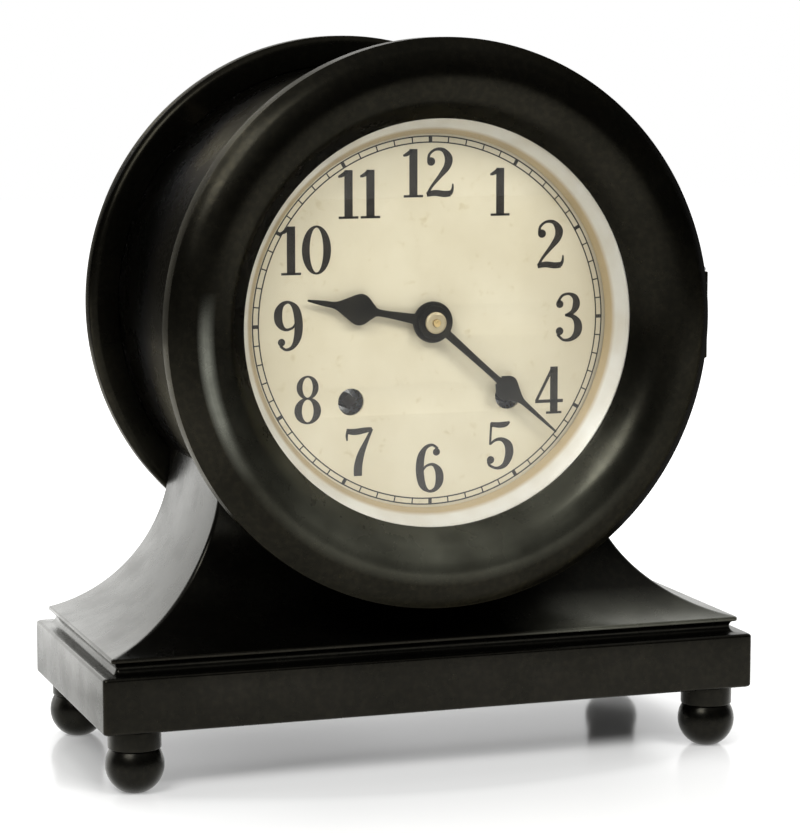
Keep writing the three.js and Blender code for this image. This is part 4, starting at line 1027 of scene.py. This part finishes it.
def make_printing():
    printing = Printing()
    for hour in range(1, 13):
        for digit, shift in zip(str(hour), DIGIT_OFFSETS.get(hour, (0,))):
            printing.digit(int(digit), at_hour(hour, shift))
    for line in TRACK:
        edges = [ring_loop(line + half, sides=180) for half in (-THIN_LINE, THIN_LINE)]
        printing.band(*edges, closed=True)
    for minute in range(60):
        half = THIN_LINE if minute % 5 else THICK_LINE
        printing.bar(-half, half, *TRACK, at_minute(minute))
    obj = mesh_object("dial_printing", printing.points, printing.faces)
    finish_mesh(obj, INK, "case", (), sharp=30)


make_printing()


# Hands

def hand_loops(length, boss, bore, stem, spade_at, spade):
    """Outline of a spade hand that points to twelve, and its bore."""
    right = catmull([
        (stem * 1.25, boss * 0.8),
        (stem, boss * 1.5),
        (stem * 0.8, spade_at - spade * 1.5),
        (spade * 0.45, spade_at - spade * 1.05),
        (spade * 0.92, spade_at - spade * 0.5),
        (spade, spade_at + spade * 0.05),
        (spade * 0.62, spade_at + spade * 0.8),
        (stem * 0.85, spade_at + spade * 1.55),
        (stem * 0.62, spade_at + spade * 2.4),
        (0.4, length),
    ], steps=7)
    right = [p for p in right if math.hypot(*p) > boss]
    left = [(-x, z) for x, z in reversed(right)]
    reach = math.pi - math.asin(stem * 1.25 / boss)
    around = []
    for k in range(-20, 21):
        angle = -math.pi / 2 + k / 20 * reach
        around.append((boss * math.cos(angle), boss * math.sin(angle)))
    return [right + left + around, ring_loop(bore, sides=40)]


def make_hands():
    hour = hand_loops(length=51, boss=8, bore=4.45, stem=1.7, spade_at=30.6, spade=5.9)
    minute = hand_loops(length=67, boss=6.5, bore=2.9, stem=1.5, spade_at=40.2, spade=4.8)
    for name, loops, level, degrees in (("hour", hour, HOUR_LEVEL, HOURS * 30),
                                        ("minute", minute, MINUTE_LEVEL, MINUTES * 6)):
        middle = level + HAND_THICKNESS / 2
        hand = filled(f"{name}_spade_hand", loops, middle, HAND_THICKNESS, HAND_BEVEL,
                      math.radians(degrees))
        finish_mesh(hand, BLACKENED, f"{name}_hand", [f"{name}_hand"], sharp=40)
    bore, flange, face = 1.55, 4.2, 3.3
    rear, front = MINUTE_LEVEL - 0.5, MINUTE_LEVEL - 1.9
    outline = rounded([
        (bore, rear, 0),
        (flange, rear, 0.2),
        (flange, front + 0.3, 0.5),
        (face, front, 0.3),
        (bore, front, 0.1),
    ], steps=4)
    nut = lathe("hand_collet", outline, sides=48)
    finish_mesh(nut, NUT_BRASS, "centre_wheel", ["hand_nut"], sharp=30)


make_hands()


# Pieces kept from the CAD model get a finish of their own

FINISHES = {
    "steel": STEEL,
    "movement_brass": BRASS,
    "spring_steel": BLUED,
    "bell_metal": BELL,
    "silvered_ring": SILVERED,
    "bronze_case": BRONZE,
    "blackened_hands": BLACKENED,
    "dial_enamel": ENAMEL,
    "glass": GLASS,
}
for entry in frame["record"]["subparts"]:
    # The winding arbors take the near-black steel as painted shade in their holes
    finish = DARK_STEEL if "winding_arbor" in entry["node"] else FINISHES[entry["material_slot"]]
    mesh = nodes[entry["node"]].data
    mesh.materials.clear()
    mesh.materials.append(finish)


# Floor, world, lamps and camera, in metres

WHITE = (1, 1, 1)


def set_sheet(name, corners, material_name):
    """A flat sheet of the set, and the empty node tree of its material."""
    mesh = bpy.data.meshes.new(name)
    mesh.from_pydata(corners, [], [tuple(range(len(corners)))])
    material = bpy.data.materials.new(material_name)
    material.use_nodes = True
    material.node_tree.nodes.clear()
    mesh.materials.append(material)
    obj = bpy.data.objects.new(name, mesh)
    scene.collection.objects.link(obj)
    return obj, Graph(material.node_tree)


def make_floor():
    """A pale floor that keeps the shadow, with a painted shadow in its glow under the clock and a
    little polish round the clock.
    """
    half = 4
    corners = [(-half, -half, 0), (half, -half, 0), (half, half, 0), (-half, half, 0)]
    _, g = set_sheet("floor", corners, "pale_floor")
    path = g.add("LightPath").outputs
    axes = g.axes()
    width, depth = axes["X"], axes["Y"]
    reach = g.distance((1, 1.8, 1))

    # Glow that the eye sees: next to none under the clock, a painted shadow there, white further
    # off
    dim = 0.02
    around = g.smooth(reach, 0.105, 0.17, dim, 0.42)
    before = g.smooth(depth, -0.046, -0.018, 0.32, dim)
    beside = g.smooth(width, -0.12, -0.01, 0.22, dim)
    near = g.larger(g.larger(around, before), beside)
    far = g.smooth(reach, 0.4, 1.6, 0, 0.6)
    seen = g.times(path["Is Camera Ray"], g.plus(near, far))

    # Glow that the metal mirrors: it fades towards the front, and most of all to the left there
    kept = g.larger(g.smooth(width, -0.15, 0, 0.2, 1), g.smooth(depth, -0.13, -0.07, 0, 1))
    mirrored = g.times(path["Is Glossy Ray"], g.times(g.smooth(depth, -1.3, -0.15, 0, 0.45), kept))

    # Polish: strongest under the right of the clock, gone further off
    under = g.times(g.smooth(depth, -0.045, -0.025, 0, 1), g.smooth(width, -0.08, 0.02, 0, 0.45))
    polish = g.times(g.plus(under, 1), g.smooth(reach, 0.25, 0.7, 1, 0))
    mirror = g.times(g.add("Fresnel", IOR=1.30).outputs[0], polish)

    matte = g.add("BsdfDiffuse", Color=(0.80, 0.80, 0.79))
    glow = g.add("Emission", Color=WHITE, Strength=g.plus(seen, mirrored))
    gloss = g.add("BsdfAnisotropic", Color=WHITE, Roughness=0.16)
    pale = g.add("AddShader")
    g.join(matte.outputs[0], pale.inputs[0])
    g.join(glow.outputs[0], pale.inputs[1])
    mixed = g.add("MixShader", Fac=mirror)
    g.join(pale.outputs[0], mixed.inputs[1])
    g.join(gloss.outputs[0], mixed.inputs[2])
    g.add("OutputMaterial", Surface=mixed.outputs[0])


make_floor()


def make_card(name, depth, edge, strength):
    """A white card that is seen only in the polish of the metal."""
    card, g = set_sheet(name, [(x, depth, z) for x, z in edge], name + "_white")
    glow = g.add("Emission", Color=WHITE, Strength=strength)
    g.add("OutputMaterial", Surface=glow.outputs[0])
    card.visible_camera = False
    card.visible_diffuse = False
    card.visible_shadow = False
    card.visible_transmission = False


CARD_DEPTH = 0.11
CARD_EDGE = (
    (-0.42, 0.004), (-0.172, 0.004), (-0.140, 0.036), (-0.09, 0.036), (-0.09, 0.15), (-0.42, 0.15),
)
make_card("back_card", CARD_DEPTH, CARD_EDGE, strength=2.2)


def make_world():
    """White for what is seen, and a soft fill for what is lit.

    The metal mirrors a dim room that is bright behind and above."""
    world = bpy.data.worlds.new("studio")
    scene.world = world
    world.use_nodes = True
    g = Graph(world.node_tree)
    g.tree.nodes.clear()
    path = g.add("LightPath").outputs
    x, y, z = g.add("SeparateXYZ", Vector=g.add("TexCoord").outputs["Generated"]).outputs
    behind = g.plus(g.times(y, 0.85), g.times(x, 0.53))
    bright = g.plus(g.smooth(behind, 0.55, 0.9, 0, 1.2), g.smooth(z, 0.45, 0.95, 0, 0.45))
    mirrored = g.times(path["Is Glossy Ray"], g.plus(bright, 0.06))
    lit = g.times(path["Is Diffuse Ray"], 0.30)
    seen = g.larger(path["Is Camera Ray"], path["Is Transmission Ray"])
    background = g.add("Background", Color=WHITE, Strength=g.larger(g.plus(lit, mirrored), seen))
    g.add("OutputWorld", Surface=background.outputs[0])


make_world()


def aimed(at, aim):
    return (Vector(aim) - Vector(at)).to_track_quat("-Z", "Y").to_euler()


CLOCK_MIDDLE = (0, 0, 0.17)
# Name, place, aim, width and height, power, and whether the metal mirrors it
LAMPS = (
    ("key", (-0.80, -0.80, 1.05), CLOCK_MIDDLE, (0.7, 0.6), 11.0, True),
    ("fill", (0.55, -1.15, 1.05), CLOCK_MIDDLE, (0.7, 0.5), 9.0, False),
    ("top", (0.05, 0.25, 1.15), (0, 0.05, 0.1), (0.9, 0.7), 8.0, False),
    ("rear", (-0.45, 1.25, 0.85), CLOCK_MIDDLE, (0.8, 0.6), 5.0, True),
)
for name, at, aim, extent, power, mirrored in LAMPS:
    light = bpy.data.lights.new(name, "AREA")
    light.shape = "RECTANGLE"
    light.size, light.size_y = extent
    light.energy = power
    lamp = bpy.data.objects.new(name, light)
    lamp.location = at
    lamp.rotation_euler = aimed(at, aim)
    lamp.visible_glossy = mirrored
    scene.collection.objects.link(lamp)

CAMERA_PLACE = (-0.37227, -1.10284, 0.28242)
CAMERA_AIM = (0.00198, -0.00485, 0.13296)
camera_data = bpy.data.cameras.new("camera")
camera_data.sensor_fit = "VERTICAL"
camera_data.sensor_height = 36
camera_data.lens = 126.4
camera = bpy.data.objects.new("camera", camera_data)
camera.location = CAMERA_PLACE
camera.rotation_euler = aimed(CAMERA_PLACE, CAMERA_AIM)
scene.collection.objects.link(camera)
scene.camera = camera

scene.view_settings.view_transform = "Standard"
